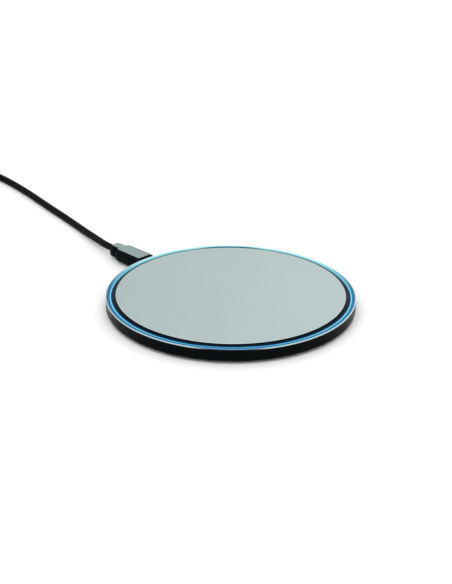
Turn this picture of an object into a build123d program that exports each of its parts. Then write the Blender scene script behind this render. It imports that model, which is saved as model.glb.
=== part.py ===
from build123d import *
import os
from math import atan2, cos, degrees, pi, radians, sin, sqrt, tan

# A round wireless charging pad with a light ring, and the USB lead that plugs into it.
# The origin is the centre of the pad on the surface it stands on. +Z is up and +Y runs out of
# the socket, along the plug. All sizes are in millimetres.

os.makedirs("parts", exist_ok=True)

# ---- driving dimensions: the pad ------------------------------------------------------------
PAD_R = 50.0  # outside of the case wall and of the trim ring
FOOT_DROP = 1.0  # the feet lift the case by this much
FLOOR_T = 1.0
FLOOR_TOP = FOOT_DROP + FLOOR_T
CASE_EDGE_FILLET = 1.0
WALL_TOP = 5.8
RING_TOP = 6.15  # top of the light ring and of the trim ring
PAD_TOP = 6.8  # top of the silver plate, where a phone lies

TRIM_CHAMFER = 0.12
TRIM_INNER_R = 49.2  # the trim ring sits outside this, the light ring inside it
GUIDE_LEDGE_Z = 4.9  # step in the wall that carries the light ring
GUIDE_LEDGE_R = 48.3
GUIDE_INNER_R = 47.0
GUIDE_GROOVE_D = 0.28  # groove between the two bright lines of the light ring
GUIDE_GROOVE_HALF = 0.35
SKIRT_INNER_R = 46.1  # part of the light guide that reaches down to the light sources
SKIRT_OUTER_R = 47.7
SKIRT_BOTTOM = 3.6
REFLECTOR_BOTTOM = 3.3

COVER_BOTTOM = 5.0
COVER_TOP = 6.05
COVER_RIM_TOP = 6.75
COVER_RIM_T = 0.25
PLATE_R = 46.05
PLATE_POCKET_R = 46.1
PLATE_BOTTOM = 6.2
PLATE_CHAMFER = 0.25
PLATE_TAPE_R = 44.0
PLATE_TAPE_HOLE_R = 15.0

# screws, bosses and feet share four places on one circle
SCREW_COUNT = 4
SCREW_CIRCLE_R = 36.0
SCREW_START = 45
SCREW_SHANK_R = 1.0
SCREW_HEAD_R = 1.9
SCREW_HEAD_BOTTOM = 1.6
SCREW_HEAD_TOP = 2.4
SCREW_TIP = 5.4
SCREW_CROSS_W = 2.2  # cross recess in the head
SCREW_CROSS_T = 0.5
SCREW_CROSS_D = 0.4
SCREW_PILOT_R = 0.85
SCREW_PILOT_TOP = 5.5
SCREW_HOLE_R = 1.1
HEAD_POCKET_R = 2.0
BOSS_R = 3.6
BOSS_NECK_R = 2.5
BOSS_TOP = 3.4
POST_R = 3.0
FOOT_R = 6.0
FOOT_TOP = 1.4
FOOT_POCKET_R = 6.05
FOOT_CHAMFER = 0.3
LABEL_R = 14.0
LABEL_T = 0.1

# ---- driving dimensions: coil stack and circuit board ---------------------------------------
SEAT_TOP = 3.1  # ring on the floor that carries the ferrite
SEAT_INNER_R = 23.8
SEAT_OUTER_R = 26.0
FERRITE_R = 25.0
FERRITE_TOP = 3.9
COIL_TAPE_R = 23.0
COIL_TAPE_TOP = 4.0
FOAM_R = 15.0
WIRE_R = 0.5
WIRE_PITCH = 1.1
WIRE_TURNS = 10
WIRE_START_R = 10.5
WIRE_Z = COVER_BOTTOM - WIRE_R
LEAD_R = 0.4
LEAD_BEND_R = 0.45
LEAD_SLOT_Y = -1.0
LEAD_SLOT_W = 1.4
LEAD_SLOT_INSET = 1.0  # the slot starts this far inside the winding
INNER_LEAD_DROP_R = 24.6  # the inner lead comes down to the board between these two radii
INNER_LEAD_BOARD_R = 26.4
INNER_LEAD_END_R = 29.5
OUTER_LEAD_BEND_R = 0.8
OUTER_LEAD_POINTS = [(21.5, 2.4), (25.4, 4.4), (27.6, 5.0), (30.5, 5.2)]

BOARD_BOTTOM = 2.6
BOARD_TOP = 3.4
BOARD_INNER_R = 27.0
BOARD_OUTER_R = 45.8
BOARD_HOLE_R = 2.6
LED_COUNT = 8
LED_START = 22.5
LED_FACE_R = 45.7
LED_DEPTH = 1.2
LED_W = 3.0
LED_H = 1.0
SOCKET_NOTCH_PLAY = 0.1  # round the socket, in the circuit board's edge

# what stands on the board, each at a radius and an angle in degrees
CHIP_PLACE = (36.0, 200.0)
CHIP_W = 7.0
CHIP_H = 0.9
CHIP_CHAMFER = 0.15
CHIP_LEGS = 8
CHIP_LEG_PITCH = 0.8
CHIP_LEG_SPREAD = 7.6
CHIP_LEG_L = 0.8
CHIP_LEG_W = 0.3
CHIP_LEG_H = 0.15
TRANSISTOR_R = 38.0
TRANSISTOR_ANGLES = (-30, -20, -10, 10)
TRANSISTOR_SIZE = (4.9, 3.9)
TRANSISTOR_H = 1.1
TRANSISTOR_LEG_SPREAD = 5.6
TRANSISTOR_LEG_PITCH = 1.2
TRANSISTOR_LEG_SIZE = (0.7, 0.45)
TRANSISTOR_LEG_H = 0.2
CAPACITOR_R = 34.0
CAPACITOR_ANGLES = (19, 24, 29, 67)
CAPACITOR_SIZE = (3.2, 2.5)
CAPACITOR_H = 1.5
CAPACITOR_FILLET = 0.2
INDUCTOR_PLACE = (36.0, 112.0)
INDUCTOR_W = 5.0
INDUCTOR_H = 1.5
INDUCTOR_CORNER_R = 0.8
INDUCTOR_GROOVE_R = 2.1
INDUCTOR_GROOVE_W = 0.3
INDUCTOR_GROOVE_D = 0.2
PASSIVE_COUNT = 12
PASSIVE_START = (31.0, 150.0)
PASSIVE_STEP_R = 2.6  # three stand in line from the inside outwards
PASSIVE_STEP_ANGLE = 7.0
PASSIVE_JUMP_ANGLE = 80.0  # the last four stand this much further round
PASSIVE_SIZE = (1.6, 0.8)
PASSIVE_H = 0.5
THERMISTOR_PLACE = (28.2, -8.0)
THERMISTOR_SIZE = (1.25, 2.0)
THERMISTOR_H = 0.6

# ---- driving dimensions: USB micro socket and plug ------------------------------------------
PORT_Z = 3.5  # height of the socket's axis
SOCKET_W = 7.5
SOCKET_H = 2.45
SOCKET_CORNER = 1.0  # chamfer of the two lower corners, which keys the plug
SHEET_T = 0.25
PORT_GAP = 0.05  # running gap between plug shell and socket shell
SOCKET_BACK = 43.8
SOCKET_BLOCK_Y = 45.0
SOCKET_MOUTH = 49.0
SOCKET_TAB = 1.15  # solder tabs on the board, either side
SOCKET_TAB_L = 0.8
SOCKET_TAB_Y = 44.6
WINDOW_W = 7.9
WINDOW_H = 2.8
TONGUE_W = 3.9
TONGUE_BOTTOM = 3.6
TONGUE_TOP = 4.1
TONGUE_TIP = 48.6
PIN_COUNT = 5
PIN_PITCH = 0.65
SOCKET_PIN_W = 0.35
SOCKET_PIN_BOTTOM = 3.5
SOCKET_PIN_TIP = 48.4
SOCKET_PIN_TAIL = 42.6
PLUG_TIP = 45.2
PLUG_SHELL_END = 56.0
PLUG_CORE_TIP = 45.4
PLUG_CORE_TOP = 3.25
PLUG_BLOCK_Y = 50.2
PLUG_PIN_W = 0.4
PLUG_PIN_TOP = 3.4
PLUG_PIN_START = 46.0
LATCH_X = 2.0
LATCH_W = 0.9
LATCH_START = 46.6
LATCH_END = 49.0
LATCH_GAP = 0.1

BODY_FRONT = 51.0  # moulded body of the device plug
BODY_END = 66.4
BODY_W = 8.8
BODY_T = 5.3
BODY_CHAMFER = 1.2
BODY_EDGE = 0.3
NECK_END = 68.0
NECK_W = 4.6
NECK_T = 5.0
COLLAR_END = 71.6
COLLAR_W = 6.2
COLLAR_T = 5.2
COLLAR_TIP_W = 5.4
COLLAR_TIP_T = 5.0
COLLAR_CORNER_R = 1.2
INLAY_FRONT = 52.2  # flat grey panel let into the plug's top, from the body back over the collar
INLAY_HALF_W = 3.1
INLAY_NECK_HALF_W = 1.7
INLAY_COLLAR_HALF_W = 1.9
INLAY_END = 71.0
INLAY_MARGIN = 0.5  # how far the wide part of the panel stops short of the body's end
INLAY_T = 0.5

# ---- driving dimensions: the cord -----------------------------------------------------------
CORD_D = 3.0
CORD_LENGTH = 1000.0
BEND_SHARE = 0.45
# from the plug's collar to the floor and on to the coil
RUN_ROUTE = [
    (0.0, 71.6, 3.5),
    (0.0, 77.0, 3.5),
    (3.0, 87.0, 2.6),
    (6.3, 99.5, 1.7),
    (9.9, 115.5, 1.5),
    (13.6, 136.0, 1.5),
    (17.9, 157.0, 1.5),
    (20.5, 178.0, 1.5),
    (20.6, 194.0, 1.5),
]
# from the coil's upper layer to the far plug
TAIL_ROUTE = [
    (-21.6, 207.3, 4.5),
    (-25.1, 201.3, 4.3),
    (-29.1, 193.2, 2.0),
    (-32.2, 185.7, 1.6),
    (-34.7, 177.9, 3.8),
    (-36.1, 171.8, 3.8),
]
COIL_CENTRE = (-1.5, 198.0)
COIL_TURNS = 8 + 150 / 360  # from the entry at 0 degrees to the exit at 150 degrees
COIL_OUTER_R = 22.1  # centreline of the outermost turn
COIL_LAYERS = 2
COIL_EDGE_FILLET = 1.2
TIE_ANGLE = 255
TIE_W = 7.0
TIE_T = 0.5
TIE_PLAY = 0.05
TIE_CORNER_R = 1.0

# ---- driving dimensions: the far plug, USB type A -------------------------------------------
HOST_Z = 3.8
HOST_RELIEF_L = 8.0
HOST_RELIEF_R = 2.2
HOST_RELIEF_END_R = 3.2
HOST_BODY_L = 21.0
HOST_BODY_W = 15.4
HOST_BODY_T = 7.6
HOST_BODY_R = 2.4
HOST_SHELL_L = 12.0
HOST_SHELL_W = 12.0
HOST_SHELL_H = 4.5
HOST_SHEET_T = 0.3
HOST_SHELL_SINK = 4.0
HOST_CORE_H = 1.9
HOST_CORE_L = 11.5
HOST_PIN_T = 0.15
HOST_PIN_W = 1.0
HOST_INNER_PINS = (2.0, 7.4)  # spacing and length of the middle pair of contacts
HOST_OUTER_PINS = (7.0, 8.4)
HOST_WINDOW = 2.0
HOST_WINDOW_SPACING = 5.6
HOST_WINDOW_SETBACK = 5.2  # from the shell's mouth to the middle of its windows

# ---- worked out -----------------------------------------------------------------------------
coil_inner_r = COIL_OUTER_R - CORD_D * COIL_TURNS / 2
coil_ring_inner = coil_inner_r - CORD_D / 2
coil_ring_outer = COIL_OUTER_R + CORD_D / 2
coil_height = COIL_LAYERS * CORD_D
coil_length = 2 * pi * (COIL_OUTER_R + coil_inner_r) / 2 * COIL_TURNS
wire_end_r = WIRE_START_R + WIRE_TURNS * WIRE_PITCH
screw_places = PolarLocations(SCREW_CIRCLE_R, SCREW_COUNT, start_angle=SCREW_START)


def port_plane(y):
    """Plane across the plug's axis, facing out of the pad, with its own y axis up."""
    return Plane(origin=(0, y, PORT_Z), x_dir=(-1, 0, 0), z_dir=(0, 1, 0))


def radial_plane(x, y, z, angle):
    """Horizontal plane at a point, turned so that its x axis points along the angle."""
    return Plane(origin=(x, y, z), x_dir=(cos(radians(angle)), sin(radians(angle)), 0), z_dir=(0, 0, 1))


def board_plane(radius, angle):
    """The circuit board's top face at a place given by radius and angle, square to the radius."""
    return radial_plane(radius * cos(radians(angle)), radius * sin(radians(angle)), BOARD_TOP, angle)


def bend_radii(route):
    """As large an arc at each corner as its two runs allow."""
    points = [Vector(*point) for point in route]
    radii = []
    for before, corner, after in zip(points, points[1:], points[2:]):
        turn = radians((corner - before).get_angle(after - corner))
        run = min((corner - before).length, (after - corner).length)
        radii.append(BEND_SHARE * run / tan(turn / 2))
    return radii


def port_profile(shrink):
    """Keyed outline of the USB micro port, as a face, shrunk evenly from the socket's outside."""
    with BuildSketch(Plane.XY) as outline:
        Rectangle(SOCKET_W, SOCKET_H)
        chamfer(outline.vertices().group_by(Axis.Y)[0], SOCKET_CORNER)
        if shrink:
            offset(amount=-shrink, kind=Kind.INTERSECTION)
    return outline.sketch


plug_shrink = SHEET_T + PORT_GAP

# ---- case ---------------------------------------------------------------------------------
with BuildPart() as bottom_case:
    with BuildSketch(Plane.XZ):
        with BuildLine():
            Polyline(
                (0, FOOT_DROP),
                (PAD_R, FOOT_DROP),
                (PAD_R, WALL_TOP),
                (TRIM_INNER_R, WALL_TOP),
                (TRIM_INNER_R, GUIDE_LEDGE_Z),
                (GUIDE_LEDGE_R, GUIDE_LEDGE_Z),
                (GUIDE_LEDGE_R, REFLECTOR_BOTTOM),
                (SKIRT_INNER_R, REFLECTOR_BOTTOM),
                (SKIRT_INNER_R, FLOOR_TOP),
                (SEAT_OUTER_R, FLOOR_TOP),
                (SEAT_OUTER_R, SEAT_TOP),
                (SEAT_INNER_R, SEAT_TOP),
                (SEAT_INNER_R, FLOOR_TOP),
                (0, FLOOR_TOP),
                close=True,
            )
        make_face()
    revolve(axis=Axis.Z)
    rim = bottom_case.edges().filter_by(GeomType.CIRCLE).group_by(Axis.Z)[0].sort_by(SortBy.RADIUS)[-1]
    fillet(rim, CASE_EDGE_FILLET)
    with BuildSketch(Plane.XY.offset(FLOOR_TOP)):
        with screw_places:
            Circle(BOSS_R)
    extrude(amount=BOARD_BOTTOM - FLOOR_TOP)
    with BuildSketch(Plane.XY.offset(BOARD_BOTTOM)):
        with screw_places:
            Circle(BOSS_NECK_R)
    extrude(amount=BOSS_TOP - BOARD_BOTTOM)
    with BuildSketch(Plane.XY.offset(FOOT_DROP)):
        with screw_places:
            Circle(FOOT_POCKET_R)
    extrude(amount=FOOT_TOP - FOOT_DROP, mode=Mode.SUBTRACT)
    with BuildSketch(Plane.XY.offset(FOOT_TOP)):
        with screw_places:
            Circle(HEAD_POCKET_R)
    extrude(amount=SCREW_HEAD_TOP - FOOT_TOP, mode=Mode.SUBTRACT)
    with BuildSketch(Plane.XY.offset(SCREW_HEAD_TOP)):
        with screw_places:
            Circle(SCREW_HOLE_R)
    extrude(amount=BOSS_TOP - SCREW_HEAD_TOP, mode=Mode.SUBTRACT)
    with BuildSketch(port_plane(SOCKET_BACK)):
        Rectangle(WINDOW_W, WINDOW_H)
    extrude(amount=PAD_R + 1 - SOCKET_BACK, mode=Mode.SUBTRACT)
bottom_case.part.label = "bottom_case"
export_step(bottom_case.part, "parts/bottom_case.step")

with BuildPart() as top_cover:
    with BuildSketch(Plane.XZ):
        with BuildLine():
            Polyline(
                (0, COVER_BOTTOM),
                (GUIDE_INNER_R, COVER_BOTTOM),
                (GUIDE_INNER_R, RING_TOP),
                (PLATE_POCKET_R + COVER_RIM_T, COVER_RIM_TOP),
                (PLATE_POCKET_R, COVER_RIM_TOP),
                (PLATE_POCKET_R, COVER_TOP),
                (0, COVER_TOP),
                close=True,
            )
        make_face()
    revolve(axis=Axis.Z)
    with BuildSketch(Plane.XY.offset(BOSS_TOP)):
        with screw_places:
            Circle(POST_R)
    extrude(amount=COVER_BOTTOM - BOSS_TOP)
    with BuildSketch(Plane.XY.offset(BOSS_TOP)):
        with screw_places:
            Circle(SCREW_PILOT_R)
    extrude(amount=SCREW_PILOT_TOP - BOSS_TOP, mode=Mode.SUBTRACT)
top_cover.part.label = "top_cover"
export_step(top_cover.part, "parts/top_cover.step")

with BuildPart() as top_plate:
    with BuildSketch(Plane.XY.offset(PLATE_BOTTOM)):
        Circle(PLATE_R)
    extrude(amount=PAD_TOP - PLATE_BOTTOM)
    chamfer(top_plate.edges().group_by(Axis.Z)[-1], PLATE_CHAMFER)
top_plate.part.label = "top_plate"
export_step(top_plate.part, "parts/top_plate.step")

with BuildPart() as plate_tape:
    with BuildSketch(Plane.XY.offset(COVER_TOP)):
        Circle(PLATE_TAPE_R)
        Circle(PLATE_TAPE_HOLE_R, mode=Mode.SUBTRACT)
    extrude(amount=PLATE_BOTTOM - COVER_TOP)
plate_tape.part.label = "plate_tape"
export_step(plate_tape.part, "parts/plate_tape.step")

groove_r = (GUIDE_INNER_R + TRIM_INNER_R) / 2
with BuildPart() as light_guide:
    with BuildSketch(Plane.XZ):
        with BuildLine():
            Polyline(
                (SKIRT_INNER_R, SKIRT_BOTTOM),
                (SKIRT_OUTER_R, SKIRT_BOTTOM),
                (SKIRT_OUTER_R, GUIDE_LEDGE_Z),
                (TRIM_INNER_R, GUIDE_LEDGE_Z),
                (TRIM_INNER_R, RING_TOP),
                (groove_r + GUIDE_GROOVE_HALF, RING_TOP),
                (groove_r, RING_TOP - GUIDE_GROOVE_D),
                (groove_r - GUIDE_GROOVE_HALF, RING_TOP),
                (GUIDE_INNER_R, RING_TOP),
                (GUIDE_INNER_R, COVER_BOTTOM),
                (SKIRT_INNER_R, COVER_BOTTOM),
                close=True,
            )
        make_face()
    revolve(axis=Axis.Z)
    with BuildSketch(port_plane(SOCKET_BACK)):
        Rectangle(WINDOW_W, WINDOW_H)
    extrude(amount=PAD_R - SOCKET_BACK, mode=Mode.SUBTRACT)
light_guide.part.label = "light_guide"
export_step(light_guide.part, "parts/light_guide.step")

with BuildPart() as trim_ring:
    with BuildSketch(Plane.XY.offset(WALL_TOP)):
        Circle(PAD_R)
        Circle(TRIM_INNER_R, mode=Mode.SUBTRACT)
    extrude(amount=RING_TOP - WALL_TOP)
    chamfer(trim_ring.edges().group_by(Axis.Z)[-1].sort_by(SortBy.RADIUS)[-1], TRIM_CHAMFER)
trim_ring.part.label = "trim_ring"
export_step(trim_ring.part, "parts/trim_ring.step")

with BuildPart() as reflector_ring:
    with BuildSketch(Plane.XY.offset(REFLECTOR_BOTTOM)):
        Circle(GUIDE_LEDGE_R)
        Circle(SKIRT_INNER_R, mode=Mode.SUBTRACT)
        with Locations((0, GUIDE_INNER_R)):
            Rectangle(WINDOW_W, 2 * (GUIDE_LEDGE_R - SKIRT_INNER_R), mode=Mode.SUBTRACT)
    extrude(amount=SKIRT_BOTTOM - REFLECTOR_BOTTOM)
reflector_ring.part.label = "reflector_ring"
export_step(reflector_ring.part, "parts/reflector_ring.step")

with BuildPart() as rubber_feet:
    with BuildSketch(Plane.XY):
        with screw_places:
            Circle(FOOT_R)
    extrude(amount=FOOT_TOP)
    chamfer(rubber_feet.edges().group_by(Axis.Z)[0], FOOT_CHAMFER)
rubber_feet.part.label = "rubber_feet"
export_step(rubber_feet.part, "parts/rubber_feet.step")

with BuildPart() as case_screws:
    with BuildSketch(Plane.XY.offset(SCREW_HEAD_BOTTOM)):
        with screw_places:
            Circle(SCREW_HEAD_R)
    extrude(amount=SCREW_HEAD_TOP - SCREW_HEAD_BOTTOM)
    with BuildSketch(Plane.XY.offset(SCREW_HEAD_TOP)):
        with screw_places:
            Circle(SCREW_SHANK_R)
    extrude(amount=SCREW_TIP - SCREW_HEAD_TOP)
    with BuildSketch(Plane.XY.offset(SCREW_HEAD_BOTTOM)):
        with screw_places:
            Rectangle(SCREW_CROSS_W, SCREW_CROSS_T)
            Rectangle(SCREW_CROSS_T, SCREW_CROSS_W)
    extrude(amount=SCREW_CROSS_D, mode=Mode.SUBTRACT)
case_screws.part.label = "case_screws"
export_step(case_screws.part, "parts/case_screws.step")

with BuildPart() as underside_label:
    with BuildSketch(Plane.XY.offset(FOOT_DROP - LABEL_T)):
        Circle(LABEL_R)
    extrude(amount=LABEL_T)
underside_label.part.label = "underside_label"
export_step(underside_label.part, "parts/underside_label.step")

# ---- coil stack -----------------------------------------------------------------------------
with BuildPart() as foam_pad:
    with BuildSketch(Plane.XY.offset(FLOOR_TOP)):
        Circle(FOAM_R)
    extrude(amount=SEAT_TOP - FLOOR_TOP)
foam_pad.part.label = "foam_pad"
export_step(foam_pad.part, "parts/foam_pad.step")

slot_start = WIRE_START_R - LEAD_SLOT_INSET
slot_length = FERRITE_R + 1 - slot_start
with BuildPart() as ferrite_shield:
    with BuildSketch(Plane.XY.offset(SEAT_TOP)):
        Circle(FERRITE_R)
        with Locations((slot_start + slot_length / 2, LEAD_SLOT_Y)):
            Rectangle(slot_length, LEAD_SLOT_W, mode=Mode.SUBTRACT)
    extrude(amount=FERRITE_TOP - SEAT_TOP)
ferrite_shield.part.label = "ferrite_shield"
export_step(ferrite_shield.part, "parts/ferrite_shield.step")

with BuildPart() as coil_tape:
    with BuildSketch(Plane.XY.offset(FERRITE_TOP)):
        Circle(COIL_TAPE_R)
        with Locations((slot_start + slot_length / 2, LEAD_SLOT_Y)):
            Rectangle(slot_length, LEAD_SLOT_W, mode=Mode.SUBTRACT)
    extrude(amount=COIL_TAPE_TOP - FERRITE_TOP)
coil_tape.part.label = "coil_tape"
export_step(coil_tape.part, "parts/coil_tape.step")

# the winding is half circles whose centres step aside by half a pitch, so each meets the next smoothly
with BuildPart() as charging_coil:
    with BuildLine(Plane.XY.offset(WIRE_Z)) as winding:
        for turn in range(WIRE_TURNS):
            radius = WIRE_START_R + turn * WIRE_PITCH
            CenterArc((0, 0), radius, 0, 180)
            CenterArc((WIRE_PITCH / 2, 0), radius + WIRE_PITCH / 2, 180, 180)
    with BuildSketch(Plane(origin=(WIRE_START_R, 0, WIRE_Z), z_dir=(0, 1, 0))):
        Circle(WIRE_R)
    sweep(path=winding.wires()[0])
charging_coil.part.label = "charging_coil"
export_step(charging_coil.part, "parts/charging_coil.step")

lead_z = BOARD_TOP + LEAD_R
slot_z = FERRITE_TOP - LEAD_R
inner_lead = [
    (WIRE_START_R, 0, WIRE_Z),
    (WIRE_START_R, LEAD_SLOT_Y, WIRE_Z),
    (WIRE_START_R, LEAD_SLOT_Y, slot_z),
    (INNER_LEAD_DROP_R, LEAD_SLOT_Y, slot_z),
    (INNER_LEAD_BOARD_R, LEAD_SLOT_Y, lead_z),
    (INNER_LEAD_END_R, LEAD_SLOT_Y, lead_z),
]
outer_lead = [(wire_end_r, 0, WIRE_Z)]
for (x, y), z in zip(OUTER_LEAD_POINTS, (WIRE_Z, WIRE_Z, lead_z, lead_z)):
    outer_lead.append((x, y, z))
with BuildPart() as coil_leads:
    with BuildLine() as inner_path:
        FilletPolyline(inner_lead, radius=[LEAD_BEND_R] * (len(inner_lead) - 2))
    with BuildSketch(Plane(origin=inner_lead[0], z_dir=(0, -1, 0))):
        Circle(LEAD_R)
    sweep(path=inner_path.wires()[0])
    with BuildLine() as outer_path:
        FilletPolyline(outer_lead, radius=[OUTER_LEAD_BEND_R] * (len(outer_lead) - 2))
    with BuildSketch(Plane(origin=outer_lead[0], z_dir=(0, 1, 0))):
        Circle(LEAD_R)
    sweep(path=outer_path.wires()[0])
coil_leads.part.label = "coil_leads"
export_step(coil_leads.part, "parts/coil_leads.step")

# ---- circuit board and what is on it --------------------------------------------------------
with BuildPart() as main_board:
    with BuildSketch(Plane.XY.offset(BOARD_BOTTOM)):
        Circle(BOARD_OUTER_R)
        Circle(BOARD_INNER_R, mode=Mode.SUBTRACT)
        with screw_places:
            Circle(BOARD_HOLE_R, mode=Mode.SUBTRACT)
        with Locations((0, BOARD_OUTER_R)):
            Rectangle(
                SOCKET_W + 2 * SOCKET_NOTCH_PLAY,
                2 * (BOARD_OUTER_R - SOCKET_BACK + SOCKET_NOTCH_PLAY),
                mode=Mode.SUBTRACT,
            )
    extrude(amount=BOARD_TOP - BOARD_BOTTOM)
main_board.part.label = "main_board"
export_step(main_board.part, "parts/main_board.step")

with BuildPart() as light_leds:
    for step in range(LED_COUNT):
        angle = LED_START + step * 360 / LED_COUNT
        with BuildSketch(board_plane(LED_FACE_R - LED_DEPTH / 2, angle)):
            Rectangle(LED_DEPTH, LED_W)
        extrude(amount=LED_H)
light_leds.part.label = "light_leds"
export_step(light_leds.part, "parts/light_leds.step")

with BuildPart() as controller_chip:
    with BuildSketch(board_plane(*CHIP_PLACE)):
        Rectangle(CHIP_W, CHIP_W)
    extrude(amount=CHIP_H)
    chamfer(controller_chip.edges().group_by(Axis.Z)[-1], CHIP_CHAMFER)
    with BuildSketch(board_plane(*CHIP_PLACE)):
        with GridLocations(CHIP_LEG_PITCH, CHIP_LEG_SPREAD, CHIP_LEGS, 2):
            Rectangle(CHIP_LEG_W, CHIP_LEG_L)
        with GridLocations(CHIP_LEG_SPREAD, CHIP_LEG_PITCH, 2, CHIP_LEGS):
            Rectangle(CHIP_LEG_L, CHIP_LEG_W)
    extrude(amount=CHIP_LEG_H)
controller_chip.part.label = "controller_chip"
export_step(controller_chip.part, "parts/controller_chip.step")

with BuildPart() as power_transistors:
    for angle in TRANSISTOR_ANGLES:
        with BuildSketch(board_plane(TRANSISTOR_R, angle)):
            Rectangle(*TRANSISTOR_SIZE)
        extrude(amount=TRANSISTOR_H)
        with BuildSketch(board_plane(TRANSISTOR_R, angle)):
            with GridLocations(TRANSISTOR_LEG_SPREAD, TRANSISTOR_LEG_PITCH, 2, 3):
                Rectangle(*TRANSISTOR_LEG_SIZE)
        extrude(amount=TRANSISTOR_LEG_H)
power_transistors.part.label = "power_transistors"
export_step(power_transistors.part, "parts/power_transistors.step")

with BuildPart() as resonant_capacitors:
    for angle in CAPACITOR_ANGLES:
        with BuildSketch(board_plane(CAPACITOR_R, angle)):
            Rectangle(*CAPACITOR_SIZE)
        extrude(amount=CAPACITOR_H)
    fillet(resonant_capacitors.edges().filter_by(Axis.Z), CAPACITOR_FILLET)
resonant_capacitors.part.label = "resonant_capacitors"
export_step(resonant_capacitors.part, "parts/resonant_capacitors.step")

with BuildPart() as filter_inductor:
    with BuildSketch(board_plane(*INDUCTOR_PLACE)):
        RectangleRounded(INDUCTOR_W, INDUCTOR_W, INDUCTOR_CORNER_R)
    extrude(amount=INDUCTOR_H)
    with BuildSketch(board_plane(*INDUCTOR_PLACE).offset(INDUCTOR_H)):
        Circle(INDUCTOR_GROOVE_R)
        Circle(INDUCTOR_GROOVE_R - INDUCTOR_GROOVE_W, mode=Mode.SUBTRACT)
    extrude(amount=-INDUCTOR_GROOVE_D, mode=Mode.SUBTRACT)
filter_inductor.part.label = "filter_inductor"
export_step(filter_inductor.part, "parts/filter_inductor.step")

with BuildPart() as chip_passives:
    for step in range(PASSIVE_COUNT):
        radius = PASSIVE_START[0] + PASSIVE_STEP_R * (step % 3)
        angle = PASSIVE_START[1] + PASSIVE_STEP_ANGLE * (step // 3) + PASSIVE_JUMP_ANGLE * (step // 8)
        with BuildSketch(board_plane(radius, angle)):
            Rectangle(*PASSIVE_SIZE)
        extrude(amount=PASSIVE_H)
chip_passives.part.label = "chip_passives"
export_step(chip_passives.part, "parts/chip_passives.step")

with BuildPart() as coil_thermistor:
    with BuildSketch(board_plane(*THERMISTOR_PLACE)):
        Rectangle(*THERMISTOR_SIZE)
    extrude(amount=THERMISTOR_H)
coil_thermistor.part.label = "coil_thermistor"
export_step(coil_thermistor.part, "parts/coil_thermistor.step")

# ---- USB micro socket -----------------------------------------------------------------------
with BuildPart() as usb_socket_shell:
    with BuildSketch(port_plane(SOCKET_BACK)):
        add(port_profile(0))
        add(port_profile(SHEET_T), mode=Mode.SUBTRACT)
    extrude(amount=SOCKET_MOUTH - SOCKET_BACK)
    with BuildSketch(Plane.XY.offset(BOARD_TOP)):
        with Locations((0, SOCKET_TAB_Y)):
            Rectangle(SOCKET_W + 2 * SOCKET_TAB, SOCKET_TAB_L)
            Rectangle(SOCKET_W - SHEET_T, SOCKET_TAB_L, mode=Mode.SUBTRACT)
    extrude(amount=SHEET_T)
usb_socket_shell.part.label = "usb_socket_shell"
export_step(usb_socket_shell.part, "parts/usb_socket_shell.step")

with BuildPart() as usb_socket_tongue:
    with BuildSketch(port_plane(SOCKET_BACK)):
        add(port_profile(SHEET_T))
    extrude(amount=SOCKET_BLOCK_Y - SOCKET_BACK)
    with BuildSketch(port_plane(SOCKET_BLOCK_Y)):
        with Locations((0, (TONGUE_TOP + TONGUE_BOTTOM) / 2 - PORT_Z)):
            Rectangle(TONGUE_W, TONGUE_TOP - TONGUE_BOTTOM)
    extrude(amount=TONGUE_TIP - SOCKET_BLOCK_Y)
    with BuildSketch(port_plane(SOCKET_BACK)):
        with Locations((0, (BOARD_TOP + TONGUE_BOTTOM) / 2 - PORT_Z)):
            with GridLocations(PIN_PITCH, 1, PIN_COUNT, 1):
                Rectangle(SOCKET_PIN_W, TONGUE_BOTTOM - BOARD_TOP)
    extrude(amount=SOCKET_BLOCK_Y - SOCKET_BACK, mode=Mode.SUBTRACT)
usb_socket_tongue.part.label = "usb_socket_tongue"
export_step(usb_socket_tongue.part, "parts/usb_socket_tongue.step")

with BuildPart() as usb_socket_contacts:
    with BuildSketch(port_plane(SOCKET_PIN_TAIL)):
        with Locations((0, (BOARD_TOP + TONGUE_BOTTOM) / 2 - PORT_Z)):
            with GridLocations(PIN_PITCH, 1, PIN_COUNT, 1):
                Rectangle(SOCKET_PIN_W, TONGUE_BOTTOM - BOARD_TOP)
    extrude(amount=SOCKET_BLOCK_Y - SOCKET_PIN_TAIL)
    with BuildSketch(port_plane(SOCKET_BLOCK_Y)):
        with Locations((0, (SOCKET_PIN_BOTTOM + TONGUE_BOTTOM) / 2 - PORT_Z)):
            with GridLocations(PIN_PITCH, 1, PIN_COUNT, 1):
                Rectangle(SOCKET_PIN_W, TONGUE_BOTTOM - SOCKET_PIN_BOTTOM)
    extrude(amount=SOCKET_PIN_TIP - SOCKET_BLOCK_Y)
usb_socket_contacts.part.label = "usb_socket_contacts"
export_step(usb_socket_contacts.part, "parts/usb_socket_contacts.step")

# ---- device plug ----------------------------------------------------------------------------
shell_bottom = PORT_Z - SOCKET_H / 2 + plug_shrink
with BuildPart() as usb_plug_shell:
    with BuildSketch(port_plane(PLUG_TIP)):
        add(port_profile(plug_shrink))
        add(port_profile(plug_shrink + SHEET_T), mode=Mode.SUBTRACT)
    extrude(amount=PLUG_SHELL_END - PLUG_TIP)
    with BuildSketch(Plane.XY.offset(shell_bottom)):
        with Locations((0, (LATCH_START - LATCH_GAP + LATCH_END) / 2)):
            with GridLocations(2 * LATCH_X, 1, 2, 1):
                Rectangle(LATCH_W + 2 * LATCH_GAP, LATCH_END - LATCH_START + LATCH_GAP)
    extrude(amount=SHEET_T, mode=Mode.SUBTRACT)
usb_plug_shell.part.label = "usb_plug_shell"
export_step(usb_plug_shell.part, "parts/usb_plug_shell.step")

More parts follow.
